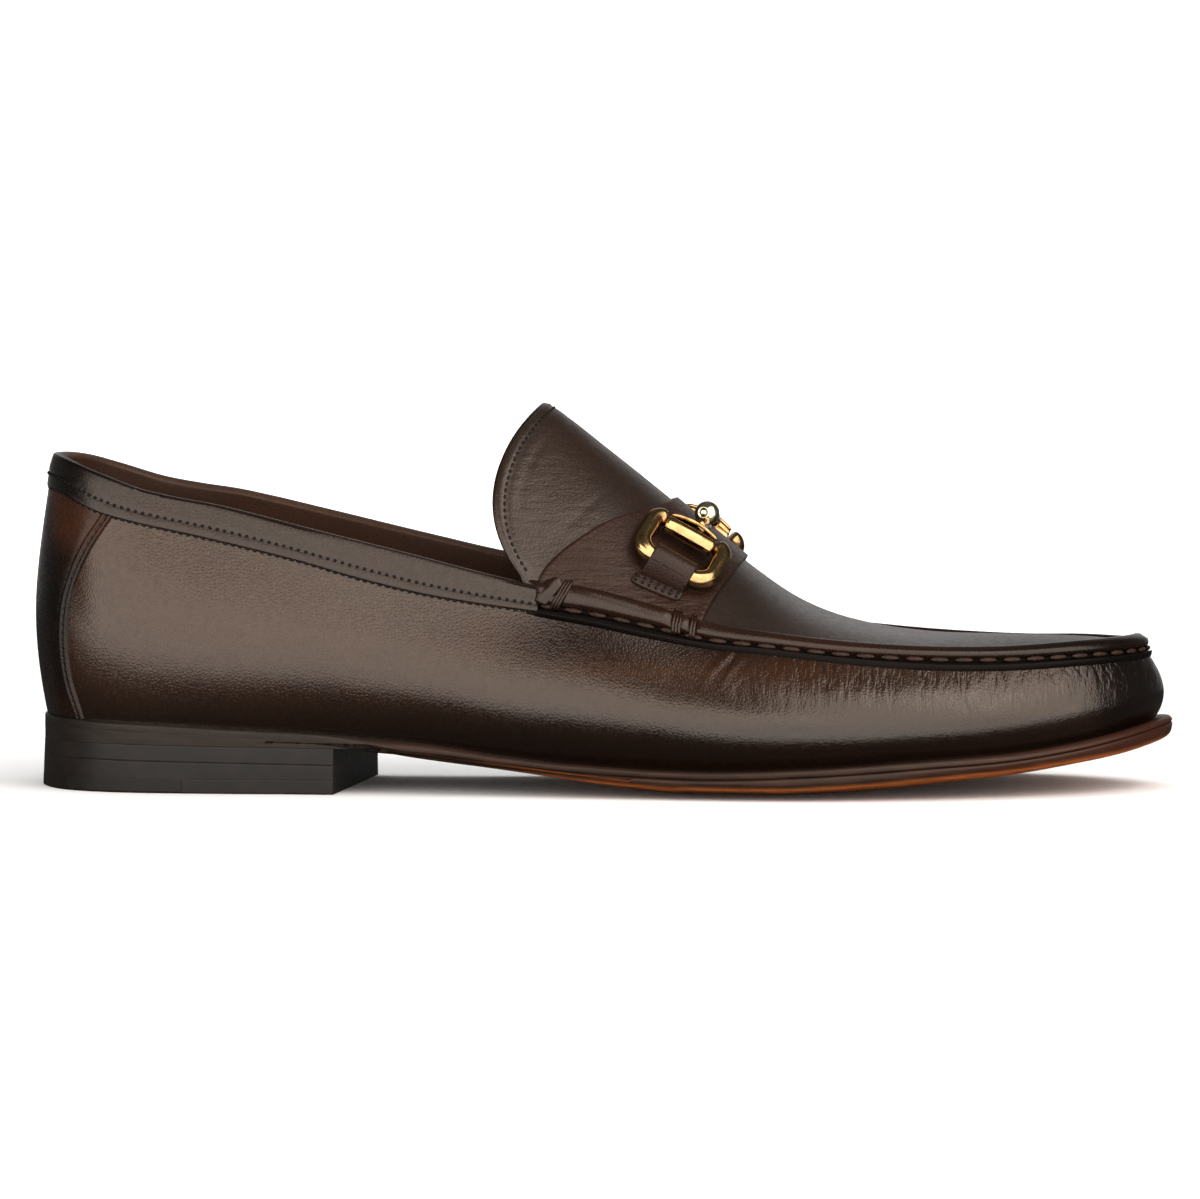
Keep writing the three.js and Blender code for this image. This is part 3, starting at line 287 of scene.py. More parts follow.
def bezier(a, b, c, d, t):
    u = 1 - t
    return [a[k] * u**3 + 3 * b[k] * u * u * t + 3 * c[k] * u * t * t + d[k] * t**3 for k in (0, 1)]


# Surface of the last: v runs 0 to 1 up the wall and 1 to 2 over the crown to the spine
def last(place, v):
    place, v = np.broadcast_arrays(np.mod(np.asarray(place, float), ROUND), np.asarray(v, float))
    guess = plan(place, np.full(place.shape, float(FEATHER_INSET)))[0]
    foot2, root, reach, out = plan(place, inset_at(guess[..., 0]) * FEATHER_INSET)
    x = foot2[..., 0]
    medial = (place > TOE) * smoothstep(np.abs(foot2[..., 1] - root[..., 1]), 0, SIDE_FADE)
    foot = (reach, sole_top(x) + GAP)
    shoulder = (
        reach - apron_at(x) * APRON_INSET,
        shoulder_at(x) + rise_at(x) * MEDIAL_RISE * medial,
    )
    top = (np.zeros_like(x), ridge(root[..., 0]))
    lean, turn, rising = (np.radians(f(x)) for f in (lean_at, turn_at, crown_at))
    wall = np.hypot(shoulder[0] - foot[0], shoulder[1] - foot[1])
    crown = np.hypot(top[0] - shoulder[0], top[1] - shoulder[1])
    low = (foot[0] + np.sin(lean) * wall * WALL_HANDLE, foot[1] + np.cos(lean) * wall * WALL_HANDLE)
    high = (
        shoulder[0] + np.sin(turn) * wall * WALL_HANDLE,
        shoulder[1] - np.cos(turn) * wall * WALL_HANDLE,
    )
    start = (
        shoulder[0] - np.sin(rising) * crown * CROWN_HANDLE,
        shoulder[1] + np.cos(rising) * crown * CROWN_HANDLE,
    )
    end = (shoulder[0] * RIDGE_HANDLE, top[1])
    lower = bezier(foot, low, high, shoulder, np.clip(v, -0.1, 1))
    upper = bezier(shoulder, start, end, top, np.clip(v - 1, 0, 1))
    r = np.where(v <= 1, lower[0], upper[0])
    z = np.where(v <= 1, lower[1], upper[1])
    plane = root + out * r[..., None]
    return np.stack([plane[..., 0], plane[..., 1], z], -1), wall, crown


STEP_ROUND, STEP_UP = 0.02, 0.006


def unit(vector):
    return vector / np.maximum(np.linalg.norm(vector, axis=-1, keepdims=True), 1e-12)


# Outward normal, the way round and the way up of the last's surface
def bearings(place, v):
    v = np.clip(v, 0, 2 - 2 * STEP_UP)
    round_way = last(place + STEP_ROUND, v)[0] - last(place - STEP_ROUND, v)[0]
    up_way = last(place, v + STEP_UP)[0] - last(place, np.maximum(v - STEP_UP, 0))[0]
    return unit(np.cross(round_way, up_way)), unit(round_way), unit(up_way)


def on_last(place, v, proud=0.0):
    place, v, proud = np.broadcast_arrays(np.asarray(place, float), np.asarray(v, float), proud)
    return last(place, v)[0] + bearings(place, v)[0] * np.asarray(proud)[..., None]


# Level v a distance from the shoulder line, down the wall or up the crown
def level(place, distance):
    _, wall, crown = last(place, 1.0)
    down = 1 + distance / (wall * 3 * WALL_HANDLE)
    up = 1 + distance / (crown * 3 * CROWN_HANDLE)
    return np.where(distance < 0, down, up)


def medial_lift(point):
    return rise_at(point[..., 0]) * MEDIAL_RISE * (point[..., 1] + 30) / 60


HALVINGS = 26


def halve(low, high, above):
    low, high = np.array(low, float), np.array(high, float)
    for _ in range(HALVINGS):
        half = (low + high) / 2
        over = above(half)
        high, low = np.where(over, half, high), np.where(over, low, half)
    return (low + high) / 2


# Level at which a rib crosses the collar's top, or a line below it
def collar_level(place, share_down=0.0):
    def above(v):
        p = last(place, v)[0]
        line = topline(p[..., 0]) - share_down * band_depth(p[..., 0]) + medial_lift(p)
        return p[..., 2] > line

    return halve(np.full(np.shape(place), 0.3), np.full(np.shape(place), 1.95), above)


# Place on one side at which a row of level v crosses a side view line x of z
def cross_place(v, line, low, high, medial):
    def beyond(q):
        p = last(on_side(q, medial), v)[0]
        return p[..., 0] > line(p[..., 2])

    return halve(np.full(np.shape(v), float(low)), np.full(np.shape(v), float(high)), beyond)


def place_of(x, v=0.0):
    return halve(
        np.zeros(np.shape(x)), np.full(np.shape(x), float(TOE)), lambda q: last(q, v)[0][..., 0] > x
    )


# Places from one to another at an even spacing along the sole's edge
def spaced(start, end, spacing):
    fine = np.linspace(start, end, 4000)
    points = outline(fine)[0]
    length = np.concatenate([[0], np.cumsum(np.linalg.norm(np.diff(points, axis=0), axis=-1))])
    count = max(2, int(length[-1] / spacing))
    return np.interp(np.linspace(0, length[-1], count + 1), length, fine)


# Point over the crown at a distance along the edge, with the outward and forward ways there
def on_crown(x, medial, part, offset):
    q = halve(np.zeros(1), np.full(1, float(TOE)), lambda t: outline(t)[0][..., 0] > x)
    place = on_side(q, medial)
    point = last(place, 1 + part)[0][0]
    normal, round_way, _ = (v[0] for v in bearings(place, np.array([1 + part])))
    return point + normal * offset, normal, (-round_way if medial else round_way)


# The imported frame's place in the last's millimetres, read from the back of the sole and the ball
ball_seat, ball_up, _ = on_crown(BALL_CENTRE, False, BALL_CROWN_SHARE, STRAP_TOP + GAP + BALL_DIAMETER / 2)
ball_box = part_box("mouthpiece_ball")
SHIFT = np.array([
    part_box("outsole")[0].x / MILLIMETRE,
    (ball_box[0].y + ball_box[1].y) / 2 / MILLIMETRE - ball_seat[1],
    0.0,
])


def in_metres(points):
    return ((np.asarray(points) + SHIFT) * MILLIMETRE).tolist()


# Welding distances in metres
FINE_WELD, SOLE_WELD, CROWN_WELD = 1e-6, 1e-5, 4e-5


def make_mesh(name, points, faces, weld=FINE_WELD, turn_outwards=False):
    mesh = bpy.data.meshes.new(name)
    mesh.from_pydata(in_metres(points), [], faces)
    merged = bmesh.new()
    merged.from_mesh(mesh)
    bmesh.ops.remove_doubles(merged, verts=merged.verts, dist=weld)
    bmesh.ops.dissolve_degenerate(merged, dist=weld, edges=merged.edges)
    if turn_outwards:
        bmesh.ops.recalc_face_normals(merged, faces=merged.faces)
    merged.to_mesh(mesh)
    merged.free()
    mesh.polygons.foreach_set("use_smooth", [True] * len(mesh.polygons))
    return mesh


def add_object(name, mesh):
    obj = bpy.data.objects.new(name, mesh)
    bpy.context.scene.collection.objects.link(obj)
    return obj


def grid_faces(n, m, closed_rows=False, closed_columns=False, start=0):
    faces = []
    for i in range(n if closed_rows else n - 1):
        a, b = i * m, ((i + 1) % n) * m
        for j in range(m if closed_columns else m - 1):
            k = (j + 1) % m
            faces.append((start + a + j, start + b + j, start + b + k, start + a + k))
    return faces


# Grids of points, each (columns round, rows up), joined in one object
def surface(name, grids, material, nodes=(), closed=False, weld=FINE_WELD):
    points, faces = [], []
    for grid in grids:
        n, m = grid.shape[:2]
        faces += grid_faces(n, m, closed_rows=closed, start=len(points))
        points += list(grid.reshape(-1, 3))
    return finished(add_object(name, make_mesh(name, points, faces, weld)), material, nodes)


def finished(obj, material, nodes=()):
    obj.data.materials.clear()
    obj.data.materials.append(material)
    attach(obj, "root")
    if nodes:
        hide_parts(*nodes)
    return obj


# Round tube along a path, with a radius for each point and closed ends
def tube_mesh(path, radius, sides, flat=1.0, up=(0, 0, 1)):
    path = np.asarray(path, float)
    radius = np.broadcast_to(radius, len(path))
    tangent = unit(np.gradient(path, axis=0))
    normal = np.zeros_like(path)
    guess = np.array(up, float)
    for i, t in enumerate(tangent):
        guess = guess - t * (guess @ t)
        guess /= np.linalg.norm(guess)
        normal[i] = guess
    cross = np.cross(tangent, normal)
    angle = np.linspace(0, 2 * np.pi, sides, endpoint=False)
    cosine, sine = np.cos(angle)[None, :, None], np.sin(angle)[None, :, None]
    ring = (cosine * normal[:, None] * flat + sine * cross[:, None]) * radius[:, None, None]
    points = list((path[:, None] + ring).reshape(-1, 3))
    faces = grid_faces(len(path), sides, closed_columns=True)
    ends = len(points)
    points += [path[0], path[-1]]
    last_ring = (len(path) - 1) * sides
    for j in range(sides):
        k = (j + 1) % sides
        faces += [(j, k, ends), (last_ring + k, last_ring + j, ends + 1)]
    return points, faces


# A tube of any section from a grid with a row of points for each section, closed at both ends
def closed_sleeve(grid):
    n, m = grid.shape[:2]
    ends = [tuple(range(m)), tuple((n - 1) * m + k for k in reversed(range(m)))]
    return list(grid.reshape(-1, 3)), grid_faces(n, m, closed_columns=True) + ends


# Several tubes or other closed shapes, given as (points, faces), in one object
def shapes(name, parts, material, nodes=()):
    points, faces = [], []
    for some_points, some_faces in parts:
        start = len(points)
        points += list(some_points)
        faces += [tuple(k + start for k in face) for face in some_faces]
    mesh = make_mesh(name, points, faces, turn_outwards=True)
    return finished(add_object(name, mesh), material, nodes)


# Node trees: sums and products of sockets add Math nodes
class Wire:
    def __init__(self, net, socket):
        self.net, self.socket = net, socket

    def maths(self, operation, a, b):
        return self.net.node("ShaderNodeMath", {"operation": operation}, {0: a, 1: b})

    def __add__(self, other):
        return self.maths("ADD", self, other)

    __radd__ = __add__

    def __mul__(self, other):
        return self.maths("MULTIPLY", self, other)

    __rmul__ = __mul__

    def __sub__(self, other):
        return self.maths("SUBTRACT", self, other)

    def __rsub__(self, other):
        return self.maths("SUBTRACT", other, self)


class Net:
    def __init__(self, tree):
        self.tree = tree

    def node(self, kind, settings=None, sockets=None, out=0):
        made = self.tree.nodes.new(kind)
        for name, value in (settings or {}).items():
            if name == "stops":
                ramp = made.color_ramp
                while len(ramp.elements) < len(value):
                    ramp.elements.new(1.0)
                for element, (position, colour) in zip(ramp.elements, value):
                    element.position = position
                    element.color = colour
            else:
                setattr(made, name, value)
        for name, value in (sockets or {}).items():
            if isinstance(value, Wire):
                self.tree.links.new(value.socket, made.inputs[name])
            else:
                made.inputs[name].default_value = value
        return Wire(self, made.outputs[out])

    def mix(self, factor, a, b):
        return self.node("ShaderNodeMix", {"data_type": "RGBA"}, {0: factor, 6: a, 7: b}, out=2)

    def ramp(self, value, low, high, start=0.0, end=1.0):
        return self.node(
            "ShaderNodeMapRange",
            {"interpolation_type": "SMOOTHSTEP"},
            {0: value, 1: low, 2: high, 3: start, 4: end},
        )

    def noise(self, vector, scale, detail=3.0, rough=0.55):
        sockets = {"Vector": vector, "Scale": scale, "Detail": detail, "Roughness": rough}
        return self.node("ShaderNodeTexNoise", {}, sockets)

    def bump(self, strength, distance, height):
        sockets = {"Strength": strength, "Distance": distance, "Height": height}
        return self.node("ShaderNodeBump", {}, sockets)


# Colour in sRGB, as on a picture, made linear
def rgb(text):
    parts = [int(text[k : k + 2], 16) / 255 for k in (1, 3, 5)]
    return tuple(c / 12.92 if c <= 0.04045 else ((c + 0.055) / 1.055) ** 2.4 for c in parts) + (1.0,)


OBJECT_COORDINATES = 3


def new_material(name):
    material = bpy.data.materials.new(name)
    material.use_nodes = True
    net = Net(material.node_tree)
    shader = material.node_tree.nodes["Principled BSDF"]
    return material, net, shader


def feed(net, shader, **values):
    for name, value in values.items():
        socket = shader.inputs[name.replace("_", " ")]
        if isinstance(value, Wire):
            net.tree.links.new(value.socket, socket)
        else:
            socket.default_value = value


# Where a point lies on the shoe: its coordinates, and distances along and up in millimetres
def places(net):
    coordinates = net.node("ShaderNodeTexCoord", out=OBJECT_COORDINATES)
    x, z = (net.node("ShaderNodeSeparateXYZ", {}, {0: coordinates}, out=axis) for axis in (0, 2))
    return coordinates, x * 1000 - SHIFT[0], z * 1000


def stretched(net, coordinates, scale, turn=(0, 0, 0)):
    return net.node("ShaderNodeMapping", {}, {"Vector": coordinates, "Scale": scale, "Rotation": turn})


GLOSS = 1.9
SHEEN = rgb("#fff0e4")
GRAIN_DEPTH, FOLD_DEPTH = 0.00014, 0.0005
# Share by which the narrow creases are darkened: painted shade
CREASE_PAINTED_SHADE = 0.85


# Roughness that follows a pattern, a little to both sides of a middle value
def uneven(net, pattern, roughness):
    return net.ramp(pattern, 0.3, 0.7, roughness - 0.04, roughness + 0.05)


# Burnished calf: clouds of two browns, dark pores, masks that warm or darken it in places, painted shade in
# its narrow creases, and folds of its own
def calf(
    name, body, warm, roughness, grain=0.3, gloss=0.25, dark="#070403",
    warm_mask=None, dark_mask=None, folds=None,
):
    material, net, shader = new_material(name)
    body, warm, dark = rgb(body), rgb(warm), rgb(dark)
    coordinates, x, z = places(net)
    cloud = net.noise(coordinates, 26.0, 3.0)
    mottle = net.noise(coordinates, 620.0, 3.0)
    pore = {"Vector": coordinates, "Scale": 1050.0}
    cells = net.ramp(net.node("ShaderNodeTexVoronoi", {"feature": "DISTANCE_TO_EDGE"}, pore), 0.0, 0.3)
    warm_share = net.ramp(cloud, 0.3, 0.7) * 0.4
    if warm_mask:
        warm_share = warm_share + warm_mask(net, x, z)
    colour = net.mix(warm_share, body, warm)
    colour = net.mix((1 - cells) * 0.3 + net.ramp(mottle, 0.4, 0.75, 0.0, 0.25), colour, dark)
    if dark_mask:
        colour = net.mix(dark_mask(net, x, z), colour, dark)
    # Painted shade: the narrow creases are darkened by their depth
    crease = net.node("ShaderNodeAttribute", {"attribute_name": "crease"}, out=2)
    colour = net.mix(crease * CREASE_PAINTED_SHADE, colour, dark)
    relief = {"Strength": grain, "Distance": GRAIN_DEPTH, "Height": cells * 0.5 + mottle * 0.5}
    if folds:
        relief["Normal"] = net.bump(0.9, FOLD_DEPTH, folds(net, coordinates, x, z))
    feed(
        net, shader, Base_Color=colour, Normal=net.node("ShaderNodeBump", {}, relief),
        Roughness=uneven(net, mottle, roughness), Specular_IOR_Level=gloss * GLOSS, Specular_Tint=SHEEN,
    )
    return material


# Thread, rubber and waxed edges: two near colours in specks, with a dull sheen
def speckled(name, colour, other, roughness, scale):
    material, net, shader = new_material(name)
    speck = net.noise(places(net)[0], scale, 4.0)
    feed(
        net, shader, Base_Color=net.mix(net.ramp(speck, 0.35, 0.7), rgb(colour), rgb(other)),
        Normal=net.bump(0.2, 0.0001, speck), Roughness=uneven(net, speck, roughness), Specular_IOR_Level=0.17,
    )
    return material


def darker_of(net, a, b):
    return net.node("ShaderNodeMath", {"operation": "MAXIMUM"}, {0: a, 1: b})


# Darker towards the toe; painted shade low on the wall and under the seam's lip, where the wall takes no
# sheen
def quarter_toe_and_painted_shade(net, x, z):
    toe = net.ramp(x, 258.0, 288.0, 0.0, 0.95)
    foot = net.ramp(z, 13.0, 42.0, 0.85, 0.0)
    seam = net.ramp(x, 116.0, 140.0) * net.ramp(x, 176.0, 225.0, 1.0, 0.5) * net.ramp(z, 30.0, 40.0, 0.0, 0.8)
    return darker_of(net, darker_of(net, toe, foot), seam)


def quarter_warm(net, x, z):
    throat = net.ramp(x, 112.0, 150.0) * net.ramp(x, 190.0, 235.0, 0.8, 0.15)
    return throat * net.ramp(z, 26.0, 44.0, 0.15, 1.1)


def apron_dark(net, x, z):
    return net.ramp(x, 215.0, 285.0, 0.0, 0.8)


def backstay_warm(net, x, z):
    return net.ramp(z, 60.0, 74.0, 0.0, 1.3) * net.ramp(x, 1.0, 9.0)


def band_dark(net, x, z):
    return net.ramp(x, 8.0, 30.0, 0.95, 0.0)


# Fine folds: streaks of noise drawn out along the way the leather is pulled
def streaks(net, coordinates, scale, turn, size):
    drawn = stretched(net, coordinates, scale, turn)
    noise = net.noise(drawn, size, 3.0, 0.6)
    return net.ramp(noise, 0.3, 0.62)


def quarter_folds(net, coordinates, x, z):
    pucker = streaks(net, coordinates, (1.0, 0.35, 0.13), (0, 0.12, 0), 420.0)
    under_seam = net.ramp(x, 182.0, 205.0) * net.ramp(z, 19.0, 34.0)
    heel = streaks(net, coordinates, (1.0, 0.3, 0.22), (0, -0.3, 0), 300.0)
    by_heel = net.ramp(x, 14.0, 24.0) * net.ramp(x, 34.0, 52.0, 1.0, 0.0) * net.ramp(z, 30.0, 55.0)
    return pucker * under_seam * 0.4 + heel * by_heel * 0.09


def strap_folds(net, coordinates, x, z):
    drawn = streaks(net, coordinates, (0.16, 0.5, 1.0), (0, 0.32, 0), 560.0)
    return drawn * net.ramp(z, 52.0, 66.0, 0.38, 0.08)


def tongue_folds(net, coordinates, x, z):
    drawn = streaks(net, coordinates, (0.2, 0.5, 1.0), (0, -0.75, 0), 420.0)
    return drawn * net.ramp(x, 130.0, 168.0, 0.12, 0.02)


calf_quarter = calf(
    "calf_quarters", "#2b1c13", "#39200f", 0.21,
    warm_mask=quarter_warm, dark_mask=quarter_toe_and_painted_shade, folds=quarter_folds,
)
calf_apron = calf("calf_apron", "#231a15", "#2c1b12", 0.33, dark_mask=apron_dark, folds=tongue_folds)
calf_saddle = calf("calf_saddle", "#271711", "#321a10", 0.36, 0.4, 0.12, folds=strap_folds)
calf_backstay = calf("calf_backstay", "#0a0605", "#341c10", 0.26, gloss=0.12, warm_mask=backstay_warm)
calf_band = calf("calf_band", "#1b110c", "#22140d", 0.27, gloss=0.21, dark_mask=band_dark)
calf_roll = calf("calf_roll", "#1e110b", "#30180c", 0.25, 0.15, 0.17, dark_mask=apron_dark)
calf_black = calf("calf_edge_black", "#090605", "#0c0806", 0.45, gloss=0.04, dark="#040303")
calf_keeper = calf("calf_keeper", "#24150f", "#331b12", 0.36, 0.4, 0.13)
lining_leather = calf("lining_leather", "#34231a", "#45291b", 0.5, gloss=0.15, dark="#20120b")
# Black waxed thread, also used for black plugs that paint the shade inside hollows
thread_and_hole_shade = speckled("waxed_thread_and_hole_shade", "#050404", "#050404", 0.5, 400.0)
# Paler copy of the black thread for the seam's stitches: painted light where they catch the light
painted_lit_thread = speckled("thread_painted_lit", "#20140e", "#33211a", 0.5, 900.0)
heel_finish = speckled("heel_edge", "#191512", "#211c19", 0.34, 120.0)
rubber_finish = speckled("rubber_edge", "#171412", "#1e1a18", 0.38, 260.0)


# Sole edges: black round the heel, brown forward of it, natural along the tread
def edge_finish(name, brown, natural):
    material, net, shader = new_material(name)
    coordinates, x, _ = places(net)
    streak = net.noise(stretched(net, coordinates, (1.0, 1.0, 9.0)), 90.0, 4.0)
    speck = net.noise(coordinates, 1300.0, 2.0)
    front = net.ramp(x, 78.0, 100.0)
    colour = net.mix(net.ramp(streak, 0.35, 0.7), rgb(brown[0]), rgb(brown[1]))
    toe = net.ramp(x, 225.0, 290.0)
    colour = net.mix(toe * 0.4, colour, rgb("#3c1c0e"))
    black = net.mix(net.ramp(streak, 0.35, 0.7), rgb("#191512"), rgb("#211c19"))
    colour = net.mix(front, black, colour)
    if natural:
        tread = net.node("ShaderNodeAttribute", {"attribute_name": "tread"}, out=2)
        bare = net.mix(net.ramp(streak, 0.3, 0.75), rgb("#7a3d16"), rgb("#98531f"))
        colour = net.mix(tread * net.ramp(x, 115.0, 160.0), colour, bare)
    feed(
        net, shader, Base_Color=colour, Normal=net.bump(0.25, 0.00012, streak * 0.7 + speck * 0.5),
        Roughness=net.ramp(speck, 0.3, 0.7, 0.34, 0.46), Specular_IOR_Level=0.22, Specular_Tint=SHEEN,
    )
    return material


welt_finish = edge_finish("welt_edge", ("#1f140f", "#2b1b13"), False)
sole_finish = edge_finish("sole_edge", ("#1f130d", "#2f1c12"), True)


def antique(name, bright, old):
    material, net, shader = new_material(name)
    coordinates = places(net)[0]
    patina = net.noise(coordinates, 260.0, 4.0)
    scratch = net.noise(stretched(net, coordinates, (1.0, 9.0, 1.0)), 900.0, 3.0)
    colour = net.mix(net.ramp(patina, 0.45, 0.75, 0.0, 0.75), rgb(bright), rgb(old))
    feed(
        net, shader, Base_Color=colour, Normal=net.bump(0.12, 0.00005, scratch), Metallic=1.0,
        Roughness=net.ramp(patina, 0.4, 0.75, 0.13, 0.3),
    )
    return material


antique_brass = antique("antique_brass", "#b39262", "#50331a")
# Paler copy of the brass for the ball: painted reflection of the bright surroundings
brass_painted_bright = antique("brass_painted_bright", "#d8ceb0", "#a5987a")


# Place and level of a point given in side view, on the outer or inner side
def from_side(x, z, medial=False):
    x, z = np.broadcast_arrays(np.asarray(x, float), np.asarray(z, float))
    q = place_of(x)
    for _ in range(7):
        place = on_side(q, medial)
        v = halve(np.zeros(x.shape), np.full(x.shape, 2.0), lambda t: last(place, t)[0][..., 2] > z)
        here, before, beyond = (
            last(on_side(q + step, medial), v)[0][..., 0] for step in (0, -0.05, 0.05)
        )
        rate = (beyond - before) / 0.1
        q = np.clip(q + (x - here) / np.where(np.abs(rate) < 1, 1, rate), 0.01, TOE - 0.01)
    return on_side(q, medial), v


# Depth pressed along lines given in side view, with a low ridge beside each
def crease_field(points, lines, medial=False):
    flat = points[..., [0, 2]]
    depth = np.zeros(flat.shape[:-1])
    facing = (points[..., 1] > SPINE_OFFSET) if medial else (points[..., 1] < SPINE_OFFSET)
    for line, width, deep in lines:
        line = np.asarray(line, float)
        lengths = np.linalg.norm(np.diff(line, axis=0), axis=-1)
        total, run = lengths.sum(), 0.0
        nearest = np.full(depth.shape, 1e9)
        where = np.zeros(depth.shape)
        for a, b, length in zip(line[:-1], line[1:], lengths):
            t = np.clip(((flat - a) @ (b - a)) / length**2, 0, 1)
            near = np.linalg.norm(flat - (a + t[..., None] * (b - a)), axis=-1)
            where = np.where(near < nearest, (run + t * length) / total, where)
            nearest = np.minimum(near, nearest)
            run += length
        fade = np.clip((1 - where) * 1.25, 0, 1) * np.clip(where * 8 + 0.4, 0, 1)
        trough = np.exp(-((nearest / width) ** 2))
        ridge_beside = 0.15 * np.exp(-(((nearest - 2.2 * width) / width) ** 2))
        depth += deep * (trough - ridge_beside) * fade
    return depth * facing


def creased(grid, normal, lines, medial=False):
    return grid - normal * crease_field(grid, lines, medial)[..., None]


NARROW_CREASE, FULL_DEPTH = 0.8, 0.1


# Keeps the depth of the narrow creases with a mesh, for its material to darken them as painted shade
def mark_crease_shade(obj, lines, medial_lines):
    lines = [line for line in lines if line[1] < NARROW_CREASE]
    mesh = obj.data
    points = np.empty(3 * len(mesh.vertices))
    mesh.vertices.foreach_get("co", points)
    points = points.reshape(-1, 3) / MILLIMETRE - SHIFT
    depth = crease_field(points, lines) + crease_field(points, medial_lines, True)
    layer = mesh.attributes.new("crease", "FLOAT", "POINT")
    layer.data.foreach_set("value", np.clip(depth / FULL_DEPTH, 0, 1))


# Bends a line a little from side to side
def torn(line, seed):
    chance = np.random.default_rng(seed)
    line = np.asarray(line, float)
    share, length = np.linspace(0, 1, 7), np.linspace(0, 1, len(line))
    path = np.stack([np.interp(share, length, line[:, k]) for k in (0, 1)], -1)
    path[1:-1, 0] += chance.normal(0, 0.28, 5)
    return path


# Puckers under the seam, the flex of the vamp and the draw of the quarter, on the outer side
PUCKERS = [
    ([(187.6, 37.5), (182.8, 28.9)], 0.4, 0.2), ([(210.3, 35.5), (211.6, 31), (212.6, 26.4)], 0.36, 0.3),
    ([(213.2, 35.5), (214.7, 29)], 0.34, 0.24), ([(219.7, 34), (220.7, 28.5)], 0.34, 0.22),
    ([(222.6, 34.5), (223.8, 30), (225.1, 24.9)], 0.4, 0.36), ([(226.8, 33.5), (228.3, 28.6)], 0.36, 0.28),
    ([(228.4, 31.5), (229.2, 25), (229.0, 17.9)], 0.32, 0.24), ([(235.9, 33.5), (238.2, 28)], 0.4, 0.32),
    ([(239.8, 33.5), (240.8, 29)], 0.34, 0.22),
    ([(244.0, 33.5), (246, 29), (247.2, 26), (249.6, 17.7)], 0.38, 0.4),
    ([(246.2, 33.5), (248.4, 29), (250.1, 25)], 0.34, 0.28),
    ([(250.1, 25.4), (250.6, 21), (249.8, 17.6)], 0.3, 0.22),
    ([(256.0, 33.6), (258.7, 27.6)], 0.36, 0.3), ([(262.2, 33.6), (264.2, 29.4)], 0.34, 0.22),
    ([(268.2, 33.9), (271.8, 28.7)], 0.36, 0.32), ([(272.6, 34.2), (276.2, 29.0)], 0.36, 0.32),
    ([(275.4, 34.2), (278.6, 29.2)], 0.34, 0.24), ([(279.4, 34.6), (283.4, 28.6)], 0.34, 0.32),
    ([(282.0, 34.8), (286.2, 28.0)], 0.34, 0.32), ([(284.9, 35.0), (289.6, 27.2)], 0.34, 0.3),
    ([(287.8, 35.2), (291.8, 28.4)], 0.34, 0.24), ([(203.5, 36), (204.6, 30)], 0.34, 0.18),
]
SHALLOW_CREASES = [
    ([(187, 39), (182, 34), (178.4, 29)], 0.9, -0.16), ([(190, 38), (186, 33), (183, 28)], 0.9, -0.12),
    ([(188, 31), (196, 25), (203, 22)], 3.4, 0.16), ([(168, 31), (178, 26), (184, 21)], 4.0, 0.12),
    ([(23, 60), (27, 50), (28, 40)], 1.2, 0.07), ([(30, 60), (34, 50), (36, 42)], 1.0, 0.05),
    ([(36, 44), (48, 37), (58, 34)], 2.4, 0.05), ([(80, 52), (96, 44), (112, 40)], 3.0, 0.05),
]
INNER_PUCKERS = [
    ([(x, 37 - 0.04 * (x - 200)), (x + lean, 33), (x + 1.4 * lean, 37 - drop)], width, deep)
    for x, lean, drop, width, deep in (
        (206, 1.0, 9, 0.4, 0.25), (214, 1.2, 12, 0.36, 0.3), (222, 1.0, 8, 0.36, 0.22),
        (231, 1.6, 13, 0.4, 0.3), (239, 1.4, 8, 0.34, 0.24), (247, 1.8, 11, 0.36, 0.28),
        (256, 2.0, 8, 0.36, 0.24), (264, 2.2, 7, 0.34, 0.22), (272, 2.6, 7, 0.34, 0.24),
        (280, 2.8, 7, 0.34, 0.22),
    )
]


# Puckers narrowed and softened, each bent by chance from a seed of its own
def puckered(rows, first_seed):
    return [
        (torn(line, first_seed + k), 0.75 * width, 0.45 * deep)
        for k, (line, width, deep) in enumerate(rows)
    ]


VAMP_CREASES = puckered(PUCKERS, 0) + SHALLOW_CREASES
INNER_CREASES = puckered(INNER_PUCKERS, 60)

# Quarters and vamp wall in one, with closer columns where the leather is creased
THROAT_X = 132.0
fore = place_of(178)
ring_places = np.concatenate([
    spaced(start, end, spacing)[:-1]
    for start, end, spacing in ((0, fore, 1.2), (fore, ROUND - fore, 0.45), (ROUND - fore, ROUND, 1.2))
])


def wall_top(place):
    x = last(place, 1.0)[0][..., 0]
    collar = collar_level(place)
    return collar + (1.0 - collar) * smoothstep(x, THROAT_X - 3, THROAT_X + 2)


share = np.linspace(0, 1, 76)
wall_levels = wall_top(ring_places)[:, None] * share[None, :]
wall_places = np.broadcast_to(ring_places[:, None], wall_levels.shape)
wall_grid = last(wall_places, wall_levels)[0]
wall_normal = bearings(wall_places, wall_levels)[0]
wall_grid = creased(wall_grid, wall_normal, VAMP_CREASES)
wall_grid = creased(wall_grid, wall_normal, INNER_CREASES, True)
foot_row = wall_grid[:, :1].copy()
foot_row[..., 2] -= 1.0
quarters = surface(
    "quarters", [np.concatenate([foot_row, wall_grid], 1)], calf_quarter, ["upper"], closed=True
)
mark_crease_shade(quarters, VAMP_CREASES, INNER_CREASES)

